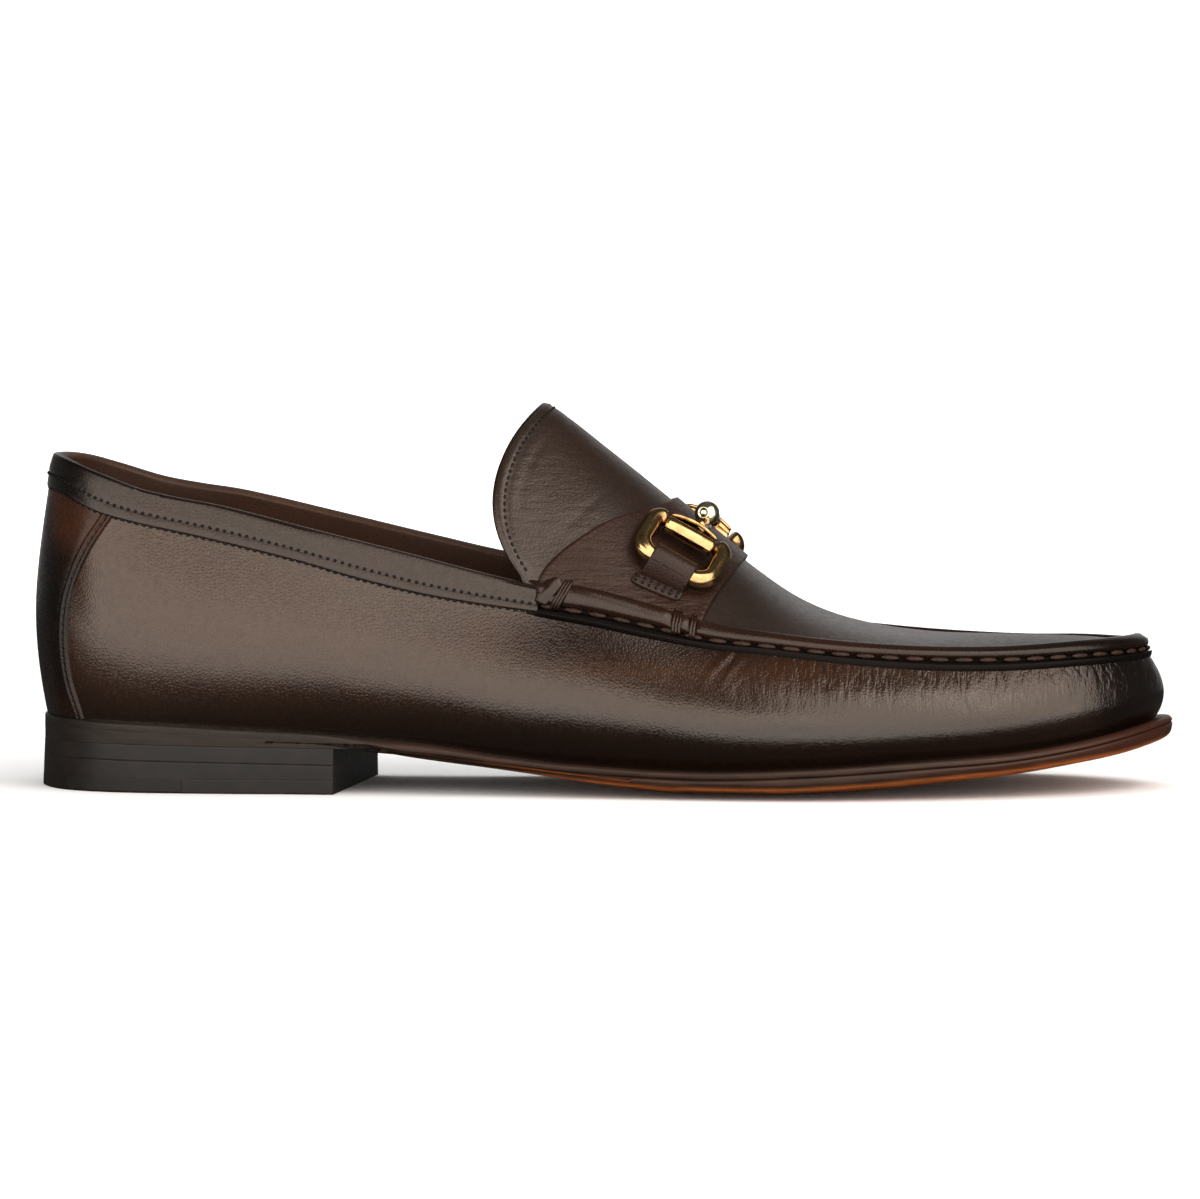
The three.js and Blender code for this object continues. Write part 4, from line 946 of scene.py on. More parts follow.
# Plug: apron and tongue in one, from the tongue's free edge to the toe
PLUG_COLUMNS = np.concatenate([np.linspace(0, 0.12, 40)[:-1], np.linspace(0.12, 1, 150)])
plug_levels = 1 + np.linspace(0, 1, 48) ** 0.9
STITCH_IN = 2.6
TONGUE_CREASES = [
    ([(150, 77), (143, 71), (133, 66)], 0.6, 0.1), ([(152, 79), (145, 74), (135, 69)], 0.6, 0.08),
    ([(146, 73), (140, 69), (134, 64)], 0.5, 0.1), ([(155, 80), (148, 77), (139, 74)], 0.6, 0.07),
    ([(157, 82), (151, 80), (144, 78)], 0.6, 0.06), ([(141, 67), (137, 64), (133, 60)], 0.5, 0.1),
]


# Groove under the stitches, soft hem outside it, worked line inside it and rounded edge
def hem_height(inwards):
    groove_under = 0.4 * np.exp(-(((inwards - STITCH_IN) / 0.45) ** 2))
    hem = 0.12 * smoothstep(inwards, 0, 0.5) * (1 - smoothstep(inwards, 1.4, STITCH_IN))
    worked_line = 0.12 * np.exp(-(((inwards - 7.2) / 0.6) ** 2)) * smoothstep(plug_levels, 1.2, 1.4)
    rounded = 0.35 * (1 - smoothstep(inwards, 0.0, 0.35))
    return hem - groove_under - worked_line - rounded


def plug_rows(medial, worked):
    start = cross_place(plug_levels, tongue_x, place_of(100.0), place_of(175.0), medial)
    q = start[None, :] + (TOE - start[None, :]) * PLUG_COLUMNS[:, None]
    place = on_side(q, medial)
    levels = np.broadcast_to(plug_levels, q.shape)
    grid = last(place, levels)[0]
    normal = bearings(place, levels)[0]
    if worked:
        step = np.linalg.norm(np.diff(grid, axis=0), axis=-1)
        inwards = np.concatenate([np.zeros((1, q.shape[1])), np.cumsum(step, axis=0)])
        grid = creased(grid + normal * hem_height(inwards)[..., None], normal, TONGUE_CREASES, medial)
    else:
        grid = grid - normal * WALL
    return (grid[::-1] if medial else grid), start


plug_outer, tongue_start = plug_rows(False, True)
plug_inner, tongue_start_medial = plug_rows(True, True)
surface("apron_and_tongue", [plug_outer, plug_inner], calf_apron, weld=CROWN_WELD)
tongue_backs = [plug_rows(medial, False)[0][::-1] for medial in (False, True)]
surface("tongue_lining", tongue_backs, lining_leather, weld=CROWN_WELD)


# Rounded free edge of the tongue
EDGE_TOP, EDGE_BULGE = -0.32, 0.8


def edge_strip(start, medial):
    place = on_side(start, medial)
    edge = on_last(place, plug_levels)
    normal, round_way, _ = bearings(place, plug_levels)
    back = round_way if medial else -round_way
    angle = np.linspace(0, np.pi, 9)
    lift = (EDGE_TOP - WALL) / 2 + (EDGE_TOP + WALL) / 2 * np.cos(angle)
    rows = edge[:, None] + normal[:, None] * lift[None, :, None]
    rows = rows + back[:, None] * (EDGE_BULGE * np.sin(angle))[None, :, None]
    return rows[::-1] if medial else rows


tongue_edges = [edge_strip(tongue_start, False), edge_strip(tongue_start_medial, True)]
surface("tongue_edge", tongue_edges, calf_band, weld=CROWN_WELD)

# Lining of the quarters, inside the wall
lining_places = spaced(0, ROUND, 2.4)[:-1]
lining_levels = wall_top(lining_places)[:, None] * np.linspace(0, 0.985, 30)[None, :]
lining_grid = on_last(lining_places[:, None], lining_levels, -WALL)
surface("quarter_lining", [lining_grid[::-1]], lining_leather, closed=True)

# Collar band: outside, over the top edge; its lining comes up inside to meet it
throat_place = float(place_of(np.array(THROAT_X), 1.0))
band_end = float(place_of(np.array(135.2), 1.0))
band_places = np.mod(spaced(-band_end, band_end, 0.8), ROUND)
band_top, band_low = collar_level(band_places), collar_level(band_places, 1.0)


def band_row(t, proud):
    return on_last(band_places, band_low + (band_top - band_low) * t, proud)


STITCH_SHARE = 0.31
BAND_INSIDE = -WALL - 0.5
BAND_PROFILE = [(-0.012, -0.3), (-0.008, 0.5), (0.0, 0.85), (0.015, 1.0), (0.04, 1.1), (0.09, 1.16)]
BAND_PROFILE += [(0.18, 1.18), (0.25, 1.16), (0.28, 1.12), (STITCH_SHARE, 1.1), (0.34, 1.13), (0.37, 1.2)]
BAND_PROFILE += [(k, BAND_THICKNESS + 0.03) for k in np.linspace(0.44, 0.9, 9)]
top_edge = on_last(band_places, band_top)
normal, _, up_way = bearings(band_places, band_top)


def fold_row(angle):
    proud = (BAND_THICKNESS + BAND_INSIDE) / 2 + (BAND_THICKNESS - BAND_INSIDE) / 2 * math.cos(angle)
    return top_edge + normal * proud + up_way * (math.sin(angle) - 1)


fold = [fold_row(angle) for angle in np.linspace(0, np.pi, 15)]
rows = [band_row(t, proud) for t, proud in BAND_PROFILE]
surface("collar_band", [np.stack(rows + fold[:8], 1)], calf_band, ["collar_band"])
inside = [band_row(0.8, BAND_INSIDE), band_row(0.5, BAND_INSIDE + 0.1), band_row(0.1, -WALL)]
surface("collar_lining", [np.stack(fold[7:] + inside, 1)], lining_leather)

# Backstay, its front edges worked into two ridges
backstay_levels = np.linspace(0, 1, 60)
stay_top = collar_level(np.array([0.0]), 1.02)[0]
EDGE_DISTANCES = np.array([*np.arange(0, 3.7, 0.3), 4.0, 4.6])
RIDGE_HEIGHTS = [-0.3, 0.5, 0.85, 0.9, 0.8, 0.45, 0.25, 0.5, 0.85, 0.9, 0.75, 0.5, 0.45, 0.5, 0.6]
STAY_HEIGHT = 0.65


def backstay_half(v, medial):
    edge = cross_place(v, backstay_x, 0.02, place_of(60.0), medial)
    per_place = np.linalg.norm(outline(edge - 0.1)[0] - outline(edge)[0], axis=-1) / 0.1
    columns = edge[None, :] - EDGE_DISTANCES[:, None] / per_place[None, :]
    return np.concatenate([columns, columns[-1:] * np.linspace(1, 0, 16)[1:-1, None]])


def backstay_grid():
    v = stay_top * backstay_levels
    inner, outer = backstay_half(v, True), backstay_half(v, False)
    place = np.mod(np.concatenate([-inner, np.zeros((1, len(v))), outer[::-1]]), ROUND)
    half = RIDGE_HEIGHTS + [STAY_HEIGHT] * (len(outer) - len(RIDGE_HEIGHTS))
    proud = np.array([*half, STAY_HEIGHT, *half[::-1]])
    levels = collar_level(place[:, -1], 1.0)[:, None] * backstay_levels[None, :]
    return on_last(place, levels, np.broadcast_to(proud[:, None], levels.shape))


backstay = backstay_grid()
surface("backstay", [backstay], calf_backstay, ["backstay"])

# Saddle strap over the instep
saddle_levels = 1 + np.linspace(0.03, 1, 60)
SADDLE_COLUMNS = np.concatenate([[0, 0, 0.004, 0.012], np.linspace(0.03, 0.97, 50), [0.988, 0.996, 1, 1]])
SADDLE_CREASES = [
    ([(140, 58), (150, 57.5), (160, 56), (172, 52)], 0.5, 0.16),
    ([(142, 60), (152, 59.5), (163, 58)], 0.5, 0.12),
    ([(147, 57), (160, 54), (170, 50.5)], 0.5, 0.16), ([(144, 62.5), (154, 62), (164, 61)], 0.5, 0.1),
    ([(152, 56), (163, 53), (173, 50)], 0.4, 0.12), ([(146, 65), (156, 64.5)], 0.5, 0.08),
]


STRAP_EDGE, STRAP_UNDER = 0.4, -0.2


def saddle_grid(medial):
    low, high = place_of(110.0), place_of(235.0)
    back = cross_place(saddle_levels, saddle_back_x, low, high, medial)
    front = cross_place(saddle_levels, saddle_front_x, low, high, medial)
    c = SADDLE_COLUMNS[:, None]
    q = back[None, :] + (front - back)[None, :] * c
    edge = np.minimum(c, 1 - c)
    proud = STRAP_EDGE + (SADDLE_THICKNESS - STRAP_EDGE) * smoothstep(edge, -0.003, 0.01)
    proud = np.broadcast_to(proud, q.shape).copy()
    proud[0] = proud[-1] = STRAP_UNDER
    place = on_side(q, medial)
    levels = np.broadcast_to(saddle_levels, q.shape)
    normal = bearings(place, levels)[0]
    grid = last(place, levels)[0] + normal * proud[..., None]
    grid = creased(grid, normal, SADDLE_CREASES, medial)
    return grid[::-1] if medial else grid


saddle = [saddle_grid(False), saddle_grid(True)]
surface("saddle_strap", saddle, calf_saddle, ["saddle_strap"], weld=CROWN_WELD)

# Seam round the apron: black lip below, groove with stitches, glossy roll above
seam_places = spaced(throat_place, ROUND - throat_place, 0.8)
seam_x = on_last(seam_places, 1.0)[:, 0]
lip, stitch, roll_top = seam_lip(seam_x), seam_stitch(seam_x), seam_top(seam_x)
taper = smoothstep(seam_x, THROAT_X, THROAT_X + 5)
WRAPS = (140.5, 171.0, 176.0)
pinch = 1 - sum(0.3 * np.exp(-(((seam_x - x) / 1.3) ** 2)) for x in WRAPS)
fullness = taper * pinch * (1 + 0.25 * smoothstep(seam_x, 139, 150) * (1 - smoothstep(seam_x, 164, 182)))


def seam_rows(profile, swell):
    rows = [
        on_last(seam_places, level(seam_places, distance), proud * swell) for distance, proud in profile
    ]
    return np.stack(rows, 1)


# Lip and groove: distance from the lip's foot or from the stitches, and height
LIP_PROFILE = [(-0.3, -0.3), (0.0, 0.3), (0.45, 0.8), (0.85, 1.15), (1.05, 1.22), (1.25, 1.18)]
GROOVE_PROFILE = [(-1.25, 1.0), (-1.0, 0.9), (-0.8, 0.6), (-0.7, 0.25), (0.0, 0.15), (1.2, 0.15)]
lip_rows = [(lip + distance, proud) for distance, proud in LIP_PROFILE]
lip_rows += [(stitch + distance, proud) for distance, proud in GROOVE_PROFILE]
surface("seam_lip", [seam_rows(lip_rows, taper)], calf_black)
# Roll: share of its breadth, and height
ROLL_PROFILE = [(0.0, 0.15), (0.0, 0.6), (0.03, 1.1), (0.09, 1.6), (0.18, 1.95), (0.32, 2.15), (0.48, 2.22)]
ROLL_PROFILE += [(0.62, 2.2), (0.74, 2.1), (0.84, 1.85), (0.92, 1.4), (0.97, 0.8), (1.0, -0.2)]
roll_low = stitch + 0.55
roll_rows = [(roll_low + (roll_top - roll_low) * t, proud) for t, proud in ROLL_PROFILE]
surface("seam_roll", [seam_rows(roll_rows, fullness)], calf_roll)


# Stitches set along a path by Geometry Nodes
def stitch_tree():
    tree = bpy.data.node_groups.new("stitches_along_path", "GeometryNodeTree")
    sockets = [("Path", "Geometry"), ("Pitch", "Float"), ("Length", "Float"), ("Width", "Float")]
    sockets.append(("Thread", "Material"))
    for title, kind in sockets:
        tree.interface.new_socket(title, in_out="INPUT", socket_type="NodeSocket" + kind)
    tree.interface.new_socket("Stitches", in_out="OUTPUT", socket_type="NodeSocketGeometry")
    net = Net(tree)
    entry = tree.nodes.new("NodeGroupInput")
    path, pitch, length, width, material = (Wire(net, entry.outputs[title]) for title, _ in sockets)
    curve = net.node("GeometryNodeMeshToCurve", {}, {0: path})
    points = net.node("GeometryNodeResampleCurve", {"mode": "LENGTH"}, {"Curve": curve, "Length": pitch})
    bead = net.node("GeometryNodeMeshUVSphere", {}, {"Segments": 10, "Rings": 8, "Radius": 0.5})
    tangent = net.node("GeometryNodeInputTangent")
    turn = net.node("FunctionNodeAlignRotationToVector", {"axis": "Z"}, {"Vector": tangent})
    size = net.node("ShaderNodeCombineXYZ", {}, {0: width, 1: width, 2: length})
    set_down = {"Points": points, "Instance": bead, "Rotation": turn, "Scale": size}
    placed = net.node("GeometryNodeInstanceOnPoints", {}, set_down)
    real = net.node("GeometryNodeRealizeInstances", {}, {0: placed})
    smooth = net.node("GeometryNodeSetShadeSmooth", {}, {0: real})
    dressed = net.node("GeometryNodeSetMaterial", {}, {"Geometry": smooth, "Material": material})
    leave = tree.nodes.new("NodeGroupOutput")
    tree.links.new(dressed.socket, leave.inputs[0])
    return tree


STITCHES = stitch_tree()


def stitched(name, paths, pitch, length, width, material):
    points, edges = [], []
    for path in paths:
        start = len(points)
        points += list(path)
        edges += [(start + k, start + k + 1) for k in range(len(path) - 1)]
    mesh = bpy.data.meshes.new(name)
    mesh.from_pydata(in_metres(points), edges, [])
    guide = add_object(name + "_path", mesh)
    modifier = guide.modifiers.new("stitches", "NODES")
    modifier.node_group = STITCHES
    sizes = {"Pitch": pitch, "Length": length, "Width": width}
    sizes = {title: size * MILLIMETRE for title, size in sizes.items()} | {"Thread": material}
    for item in STITCHES.interface.items_tree:
        if item.in_out == "INPUT" and item.name in sizes:
            modifier[item.identifier] = sizes[item.name]
    graph = bpy.context.evaluated_depsgraph_get()
    made = bpy.data.meshes.new_from_object(guide.evaluated_get(graph))
    bpy.data.objects.remove(guide)
    return finished(add_object(name, made), material)


# Each row of stitches with its pitch, its stitch's length and its thread's width
seam_line = on_last(seam_places, level(seam_places, stitch), 0.75)[8:-8]
stitched("seam_stitches", [seam_line], 6.4, 4.9, 1.35, painted_lit_thread)
stitched("collar_stitches", [band_row(STITCH_SHARE, 1.18)], 2.03, 0.95, 0.85, thread_and_hole_shade)
stitched("collar_edge_stitches", [band_row(-0.015, 0.5)], 2.03, 1.2, 0.6, thread_and_hole_shade)
stitched("backstay_stitches", [backstay[4, 1:-1], backstay[-5, 1:-1]], 2.0, 1.2, 0.7, thread_and_hole_shade)


# Line inside the tongue's free edge, reached in small steps over the crown
INWARD_STEPS = 60


def inside_tongue(medial, start):
    q = start.copy()
    for _ in range(INWARD_STEPS):
        here, beyond = (on_last(on_side(q + step, medial), plug_levels) for step in (0, 0.02))
        rate = np.linalg.norm(beyond - here, axis=-1) / 0.02
        q = q + STITCH_IN / INWARD_STEPS / rate
    return on_last(on_side(q, medial), plug_levels, -0.12)


tongue_line = np.concatenate([
    inside_tongue(False, tongue_start)[3:], inside_tongue(True, tongue_start_medial)[3:-1][::-1],
])
stitched("tongue_stitches", [tongue_line], 1.9, 1.2, 0.75, thread_and_hole_shade)


# Cords wound round the roll where the saddle begins and ends
CORD_GROUPS = ((138.9, 3.9, 3), (170.9, 0.4, 3), (175.6, 0.3, 2))
CORD_SPACING, CORD_RADIUS = 0.8, 0.48


def wrap_cords(medial):
    cords = []
    t = np.linspace(0, 1, 16)
    proud = 0.7 + 1.85 * np.sin(np.pi * np.clip(t, 0.02, 0.98)) ** 0.6
    for x, lean, count in CORD_GROUPS:
        for k in range(count):
            along_x = x + CORD_SPACING * k + lean * t
            place = on_side(place_of(along_x, 1.0), medial)
            low, high = seam_stitch(along_x) - 0.4, seam_top(along_x) + 0.5
            points = on_last(place, level(place, low + (high - low) * t), proud)
            cords.append(tube_mesh(points, CORD_RADIUS, 8))
    return cords


shapes("seam_wraps", wrap_cords(False) + wrap_cords(True), calf_roll)


# Gathered end of the strap, folded down over the end of the roll in a narrowing funnel:
# distance along, height in side view, radius and height over the last
FUNNEL = np.array([
    (143.4, 59.6, 2.4, -3.0), (142.2, 58.2, 3.1, -1.9), (141.0, 56.9, 3.4, -0.9),
    (139.8, 55.6, 3.2, 0.0), (138.6, 54.3, 2.85, 0.6), (137.6, 53.1, 2.5, 0.9),
    (136.8, 51.9, 2.2, 0.9), (136.2, 50.9, 2.0, 0.8), (135.9, 50.3, 1.75, 0.7),
])
FUNNEL_FLATNESS, FUNNEL_SIDES, PLEATS = 0.62, 48, 7


def gathered_end(medial):
    x, z, radius, proud = FUNNEL.T
    lift = rise_at(x) * MEDIAL_RISE if medial else 0
    place, v = from_side(x, z + lift, medial)
    centre = on_last(place, v, proud)
    up = bearings(place, v)[0][0]
    points, faces = tube_mesh(centre, radius, FUNNEL_SIDES, FUNNEL_FLATNESS, up)
    points = np.asarray(points)
    turn = np.arange(FUNNEL_SIDES) * 2 * np.pi / FUNNEL_SIDES
    for row, middle in enumerate(centre):
        ring = slice(row * FUNNEL_SIDES, (row + 1) * FUNNEL_SIDES)
        pleat = 1 + 0.03 * np.sin(PLEATS * turn + 0.2 * row) * min(1, 0.25 * row) + 0.02 * (-1) ** row
        points[ring] = middle + (points[ring] - middle) * pleat[:, None]
    # Short black plug in the funnel's mouth: painted shade for its hollow
    way = unit(centre[-1] - centre[-3])
    mouth = [centre[-1] - way * 0.3, centre[-1] + way * 0.06]
    return (list(points), faces), tube_mesh(mouth, 1.0, 20, FUNNEL_FLATNESS, up)


ends = [gathered_end(False), gathered_end(True)]
shapes("seam_ends", [end for end, _ in ends], calf_roll)
shapes("seam_end_painted_hollows", [painted_hollow for _, painted_hollow in ends], thread_and_hole_shade)


# Layer of the sole from rows that give a share of the reach, an inset and a height
def sole_layer(name, rows, material, nodes):
    ring = spaced(0, ROUND, 1.2)[:-1]
    _, root, reach, out = plan(ring, np.zeros(len(ring)))
    columns = []
    for part, inwards, height in rows:
        x = (root + out * reach[:, None])[:, 0]
        r = reach * part - (inwards(x) if callable(inwards) else inwards)
        plane = root + out * r[:, None]
        columns.append(np.stack([plane[:, 0], plane[:, 1], height(plane[:, 0], r / reach)], -1))
    return surface(name, [np.stack(columns, 1)], material, nodes, closed=True, weld=SOLE_WELD)


def heel_plane(back, front):
    return lambda x, *_: back + (front - back) * x / HEEL_LENGTH


heel_seat = heel_plane(HEEL_HEIGHT, HEEL_FRONT_HEIGHT)
SEAT_END = 0.3 * SOLE_LENGTH + 0.1
FLAT_SHARE = 0.45


def tread_at(x, part):
    out = np.maximum(0, (part - FLAT_SHARE) / (1 - FLAT_SHARE))
    worn = np.maximum(0, tread_height(x)) + tread_crown(x) * TREAD_CROWN * out * out
    return np.where(x <= SEAT_END, heel_seat(x), worn)


def top_at(x, part):
    return sole_top(x)


def seat_at(x, part):
    return sole_top(x) - WELT_THICKNESS


def lifted(base, lift, drop=0.0):
    return lambda x, part: base(x, part) + lift - drop * sole_drop(x)


WAIST_START, GROOVE_START, TOE_ROUNDING = (84, 95), (96, 125), (215, 292)


# The line between welt and sole shows forward of the heel only, and the edge is rounder at the toe
def groove(deep):
    return lambda x: deep * smoothstep(x, *GROOVE_START)


def rounder(heel, toe):
    return lambda x: heel + (toe - heel) * smoothstep(x, *TOE_ROUNDING)


def lower_edge(waist, toe):
    return lambda x: waist * smoothstep(x, *WAIST_START) + (toe - waist) * smoothstep(x, *TOE_ROUNDING)


outsole = sole_layer(
    "outsole",
    [
        *((share_out, 0, tread_at) for share_out in (0.0, 0.2, FLAT_SHARE, 0.6, 0.75, 0.88)),
        (1, lower_edge(1.3, 3.4), tread_at), (1, lower_edge(0.75, 2.2), lifted(tread_at, 0.12)),
        (1, lower_edge(0.35, 1.3), lifted(tread_at, 0.4)), (1, lower_edge(0.1, 0.7), lifted(tread_at, 0.9)),
        (1, rounder(0.0, 0.3), lifted(tread_at, 1.5)), (1, 0.0, lifted(seat_at, -0.8, 0.5)),
        (1, groove(0.06), lifted(seat_at, -0.3, 0.45)), (1, groove(0.3), lifted(seat_at, -0.06, 0.4)),
        (1, groove(0.8), lifted(seat_at, 0.0, 0.4)), (0.8, 0, seat_at), (0, 0, seat_at),
    ],
    sole_finish, ["outsole"],
)


# Marks the underside and its rounded edge, where the leather is left natural
def mark_tread(obj):
    mesh = obj.data
    normals = np.empty(3 * len(mesh.vertices))
    mesh.vertices.foreach_get("normal", normals)
    layer = mesh.attributes.new("tread", "FLOAT", "POINT")
    layer.data.foreach_set("value", smoothstep(-normals.reshape(-1, 3)[:, 2], 0.45, 0.8))


mark_tread(outsole)
sole_layer(
    "welt",
    [
        (0.8, 0, seat_at), (1, groove(0.8), lifted(seat_at, 0.0, 0.4)),
        (1, groove(0.3), lifted(seat_at, 0.06, 0.45)), (1, groove(0.06), lifted(seat_at, 0.3, 0.5)),
        (1, 0.0, lifted(seat_at, 0.55, 0.6)), (1, rounder(0.0, 0.4), lifted(top_at, -0.8, 0.8)),
        (1, rounder(0.06, 0.85), lifted(top_at, -0.4, 0.7)),
        (1, rounder(0.3, 1.6), lifted(top_at, -0.12, 0.4)), (1, rounder(0.8, 2.5), lifted(top_at, 0.0, 0.15)),
        (1, rounder(1.4, 3.3), top_at), (1, 3.8, lifted(top_at, -0.25)), (1, 5.0, lifted(top_at, -0.4)),
        (0.6, 0, lifted(top_at, -0.2)), (0, 0, top_at),
    ],
    welt_finish, ["midsole"],
)


# Slab of the heel between two heights, cut off square to the breast's slant
SHARP_ANGLE = math.radians(35)


def heel_piece(name, low, high, start, end, material, low_bevel, high_bevel):
    ring = spaced(0, ROUND, 1.0)[:-1]
    edge, root, reach, out = plan(ring, np.zeros(len(ring)))
    beyond = np.where(edge[:, 0] >= end + 12)[0]
    order = np.concatenate([np.arange(beyond[-1] + 1, len(ring)), np.arange(0, beyond[0])])
    rows = [(low, 0.0, low_bevel), (low, low_bevel * 0.4, low_bevel * 0.25), (low, low_bevel + 0.05, 0.0)]
    rows += [(low, low_bevel + 0.3, 0.0), (high, -high_bevel - 0.3, 0.0), (high, -high_bevel - 0.05, 0.0)]
    rows += [(high, -high_bevel * 0.4, high_bevel * 0.25), (high, 0.0, high_bevel)]
    columns = []
    for height, lift, inwards in rows:
        z = height(edge[order, 0]) + lift
        flare = HEEL_FLARE * (1 - z / HEEL_HEIGHT)
        plane = root[order] + out[order] * (reach[order] + flare - inwards)[:, None]
        columns.append(np.concatenate([plane, z[:, None]], 1))
    ring_points = np.stack(columns, 1)
    n, m = ring_points.shape[:2]
    faces = grid_faces(n, m)
    faces.append(tuple(i * m for i in reversed(range(n))))
    faces.append(tuple(i * m + m - 1 for i in range(n)))
    faces.append(tuple([(n - 1) * m + j for j in reversed(range(m))] + list(range(m))))
    mesh = make_mesh(name, list(ring_points.reshape(-1, 3)), faces, turn_outwards=True)
    work = bmesh.new()
    work.from_mesh(mesh)
    direction = Vector((1, -BREAST_SLANT / (SEAT_WIDTH / 2), 0)).normalized()
    cuts = [(end, direction)] + ([(start, -direction)] if start > 0 else [])
    for x, away in cuts:
        at = Vector(((x + SHIFT[0]) * MILLIMETRE, SHIFT[1] * MILLIMETRE, 0))
        geometry = work.verts[:] + work.edges[:] + work.faces[:]
        bmesh.ops.bisect_plane(work, geom=geometry, plane_co=at, plane_no=away, clear_outer=True)
        bmesh.ops.edgeloop_fill(work, edges=[e for e in work.edges if e.is_boundary])
    bmesh.ops.recalc_face_normals(work, faces=work.faces)
    bmesh.ops.triangulate(work, faces=[f for f in work.faces if len(f.verts) > 4])
    work.to_mesh(mesh)
    work.free()
    mesh.polygons.foreach_set("use_smooth", [True] * len(mesh.polygons))
    mesh.set_sharp_from_angle(angle=SHARP_ANGLE)
    return finished(add_object(name, mesh), material, [name])


def floor_level(x, *_):
    return np.zeros_like(x)


def piece_top(x, *_):
    return np.full_like(x, TOP_PIECE_THICKNESS)


lift_top = heel_plane(TOP_PIECE_THICKNESS + LOWER_LIFT_BACK, TOP_PIECE_THICKNESS + LOWER_LIFT_FRONT)
leather_start = RUBBER_LENGTH + 0.15
heel_piece("heel_lift_upper", lift_top, heel_seat, 0, HEEL_LENGTH, heel_finish, 0.14, 0.14)
heel_piece("heel_lift_lower", piece_top, lift_top, 0, HEEL_LENGTH, heel_finish, 0.02, 0.14)
heel_piece("top_piece_rubber", floor_level, piece_top, 0, RUBBER_LENGTH, rubber_finish, 0.35, 0.02)
heel_piece(
    "top_piece_leather", floor_level, piece_top, leather_start, HEEL_LENGTH, heel_finish, 0.2, 0.1
)

# Sock inside: share of the reach, and lift over its middle
SOCK_ROWS = [(1.0, -1.5), (1.0, 0.2), (0.97, 0.9), (0.9, 0.55), (0.7, 0.1), (0.4, 0.0), (0.0, 0.0)]
sock_ring = spaced(0, ROUND, 3.0)[:-1]
_, root, reach, out = plan(sock_ring, np.full(len(sock_ring), FEATHER_INSET + WALL - 0.6))
sock_rows = []
for part, lift in SOCK_ROWS:
    plane = root + out * (reach * part)[:, None]
    z = sole_top(plane[:, 0]) + GAP + SOCK_THICKNESS - 0.9 + lift
    sock_rows.append(np.concatenate([plane, z[:, None]], 1))
surface("sock", [np.stack(sock_rows, 1)], lining_leather, ["insole"], closed=True, weld=SOLE_WELD)


# Frame of a ring: its centre, the ways forwards and across, and the normal
def ring_frame(medial):
    height = STRAP_TOP + GAP + RING_WIRE / 2 - RING_SINK
    share = MEDIAL_CROWN_SHARE if medial else RING_CROWN_SHARE
    point, normal, forwards = on_crown(RING_CENTRE, medial, share, height)
    return point, forwards, np.cross(normal, forwards), normal


def in_frame(frame_of, points):
    point, forwards, across, normal = frame_of
    points = np.asarray(points, float)
    return point + points[:, :1] * forwards + points[:, 1:2] * across + points[:, 2:3] * normal


def arc(cx, cy, r, start, end, steps):
    angle = np.linspace(start, end, steps)
    return np.stack([cx + r * np.cos(angle), cy + r * np.sin(angle), np.zeros(steps)], -1)


SMOOTHING_ROUNDS = 8


def smooth_path(points, count):
    points = np.asarray(points, float)
    length = np.concatenate([[0], np.cumsum(np.linalg.norm(np.diff(points, axis=0), axis=-1))])
    even = np.linspace(0, length[-1], count)
    path = np.stack([np.interp(even, length, points[:, k]) for k in range(3)], -1)
    for _ in range(SMOOTHING_ROUNDS):
        path[1:-1] = (path[:-2] + path[2:] + 2 * path[1:-1]) / 4
    return path


def bit_ring(frame_of, side):
    a, b, c = RING_LENGTH / 2, RING_WIDTH / 2, RING_CORNER
    end = BARREL_LENGTH / 2 + 0.7
    tight = a - end
    path = np.concatenate([
        arc(-end, tight - b, tight, -np.pi / 2, -np.pi, 10), arc(c - a, b - c, c, np.pi, np.pi / 2, 14),
        arc(a - c, b - c, c, np.pi / 2, 0, 14), arc(end, tight - b, tight, 0, -np.pi / 2, 10),
    ])
    path = smooth_path(path, 96)
    share = np.linspace(-1, 1, len(path))
    path[:, 1] -= BAR_INSET * np.exp(-((share / 0.2) ** 4))
    path[:, 1] *= side
    bar = np.exp(-((share / 0.28) ** 4))
    radius = RING_WIRE / 2 * (1.04 - 0.22 * bar)
    radius[[0, -1]] *= 0.86
    radius[[1, -2]] *= 0.96
    return tube_mesh(in_frame(frame_of, path), radius, 24, up=frame_of[3])


def barrel(frame_of, side):
    r, h = BARREL_DIAMETER / 2 * 1.04, BARREL_LENGTH / 2
    half_x = np.array([h, h - 0.1, h - 0.35, h - 0.8, h * 0.5])
    half_radius = np.array([0.7, 0.86, 0.95, 0.98, 1.01])
    x = np.concatenate([-half_x, [0], half_x[::-1]])
    radius = r * np.concatenate([half_radius, [1.03], half_radius[::-1]])
    path = np.stack([x, np.full_like(x, -side * BARREL_LINE), np.zeros_like(x)], -1)
    return tube_mesh(in_frame(frame_of, path), radius, 28, up=frame_of[3])


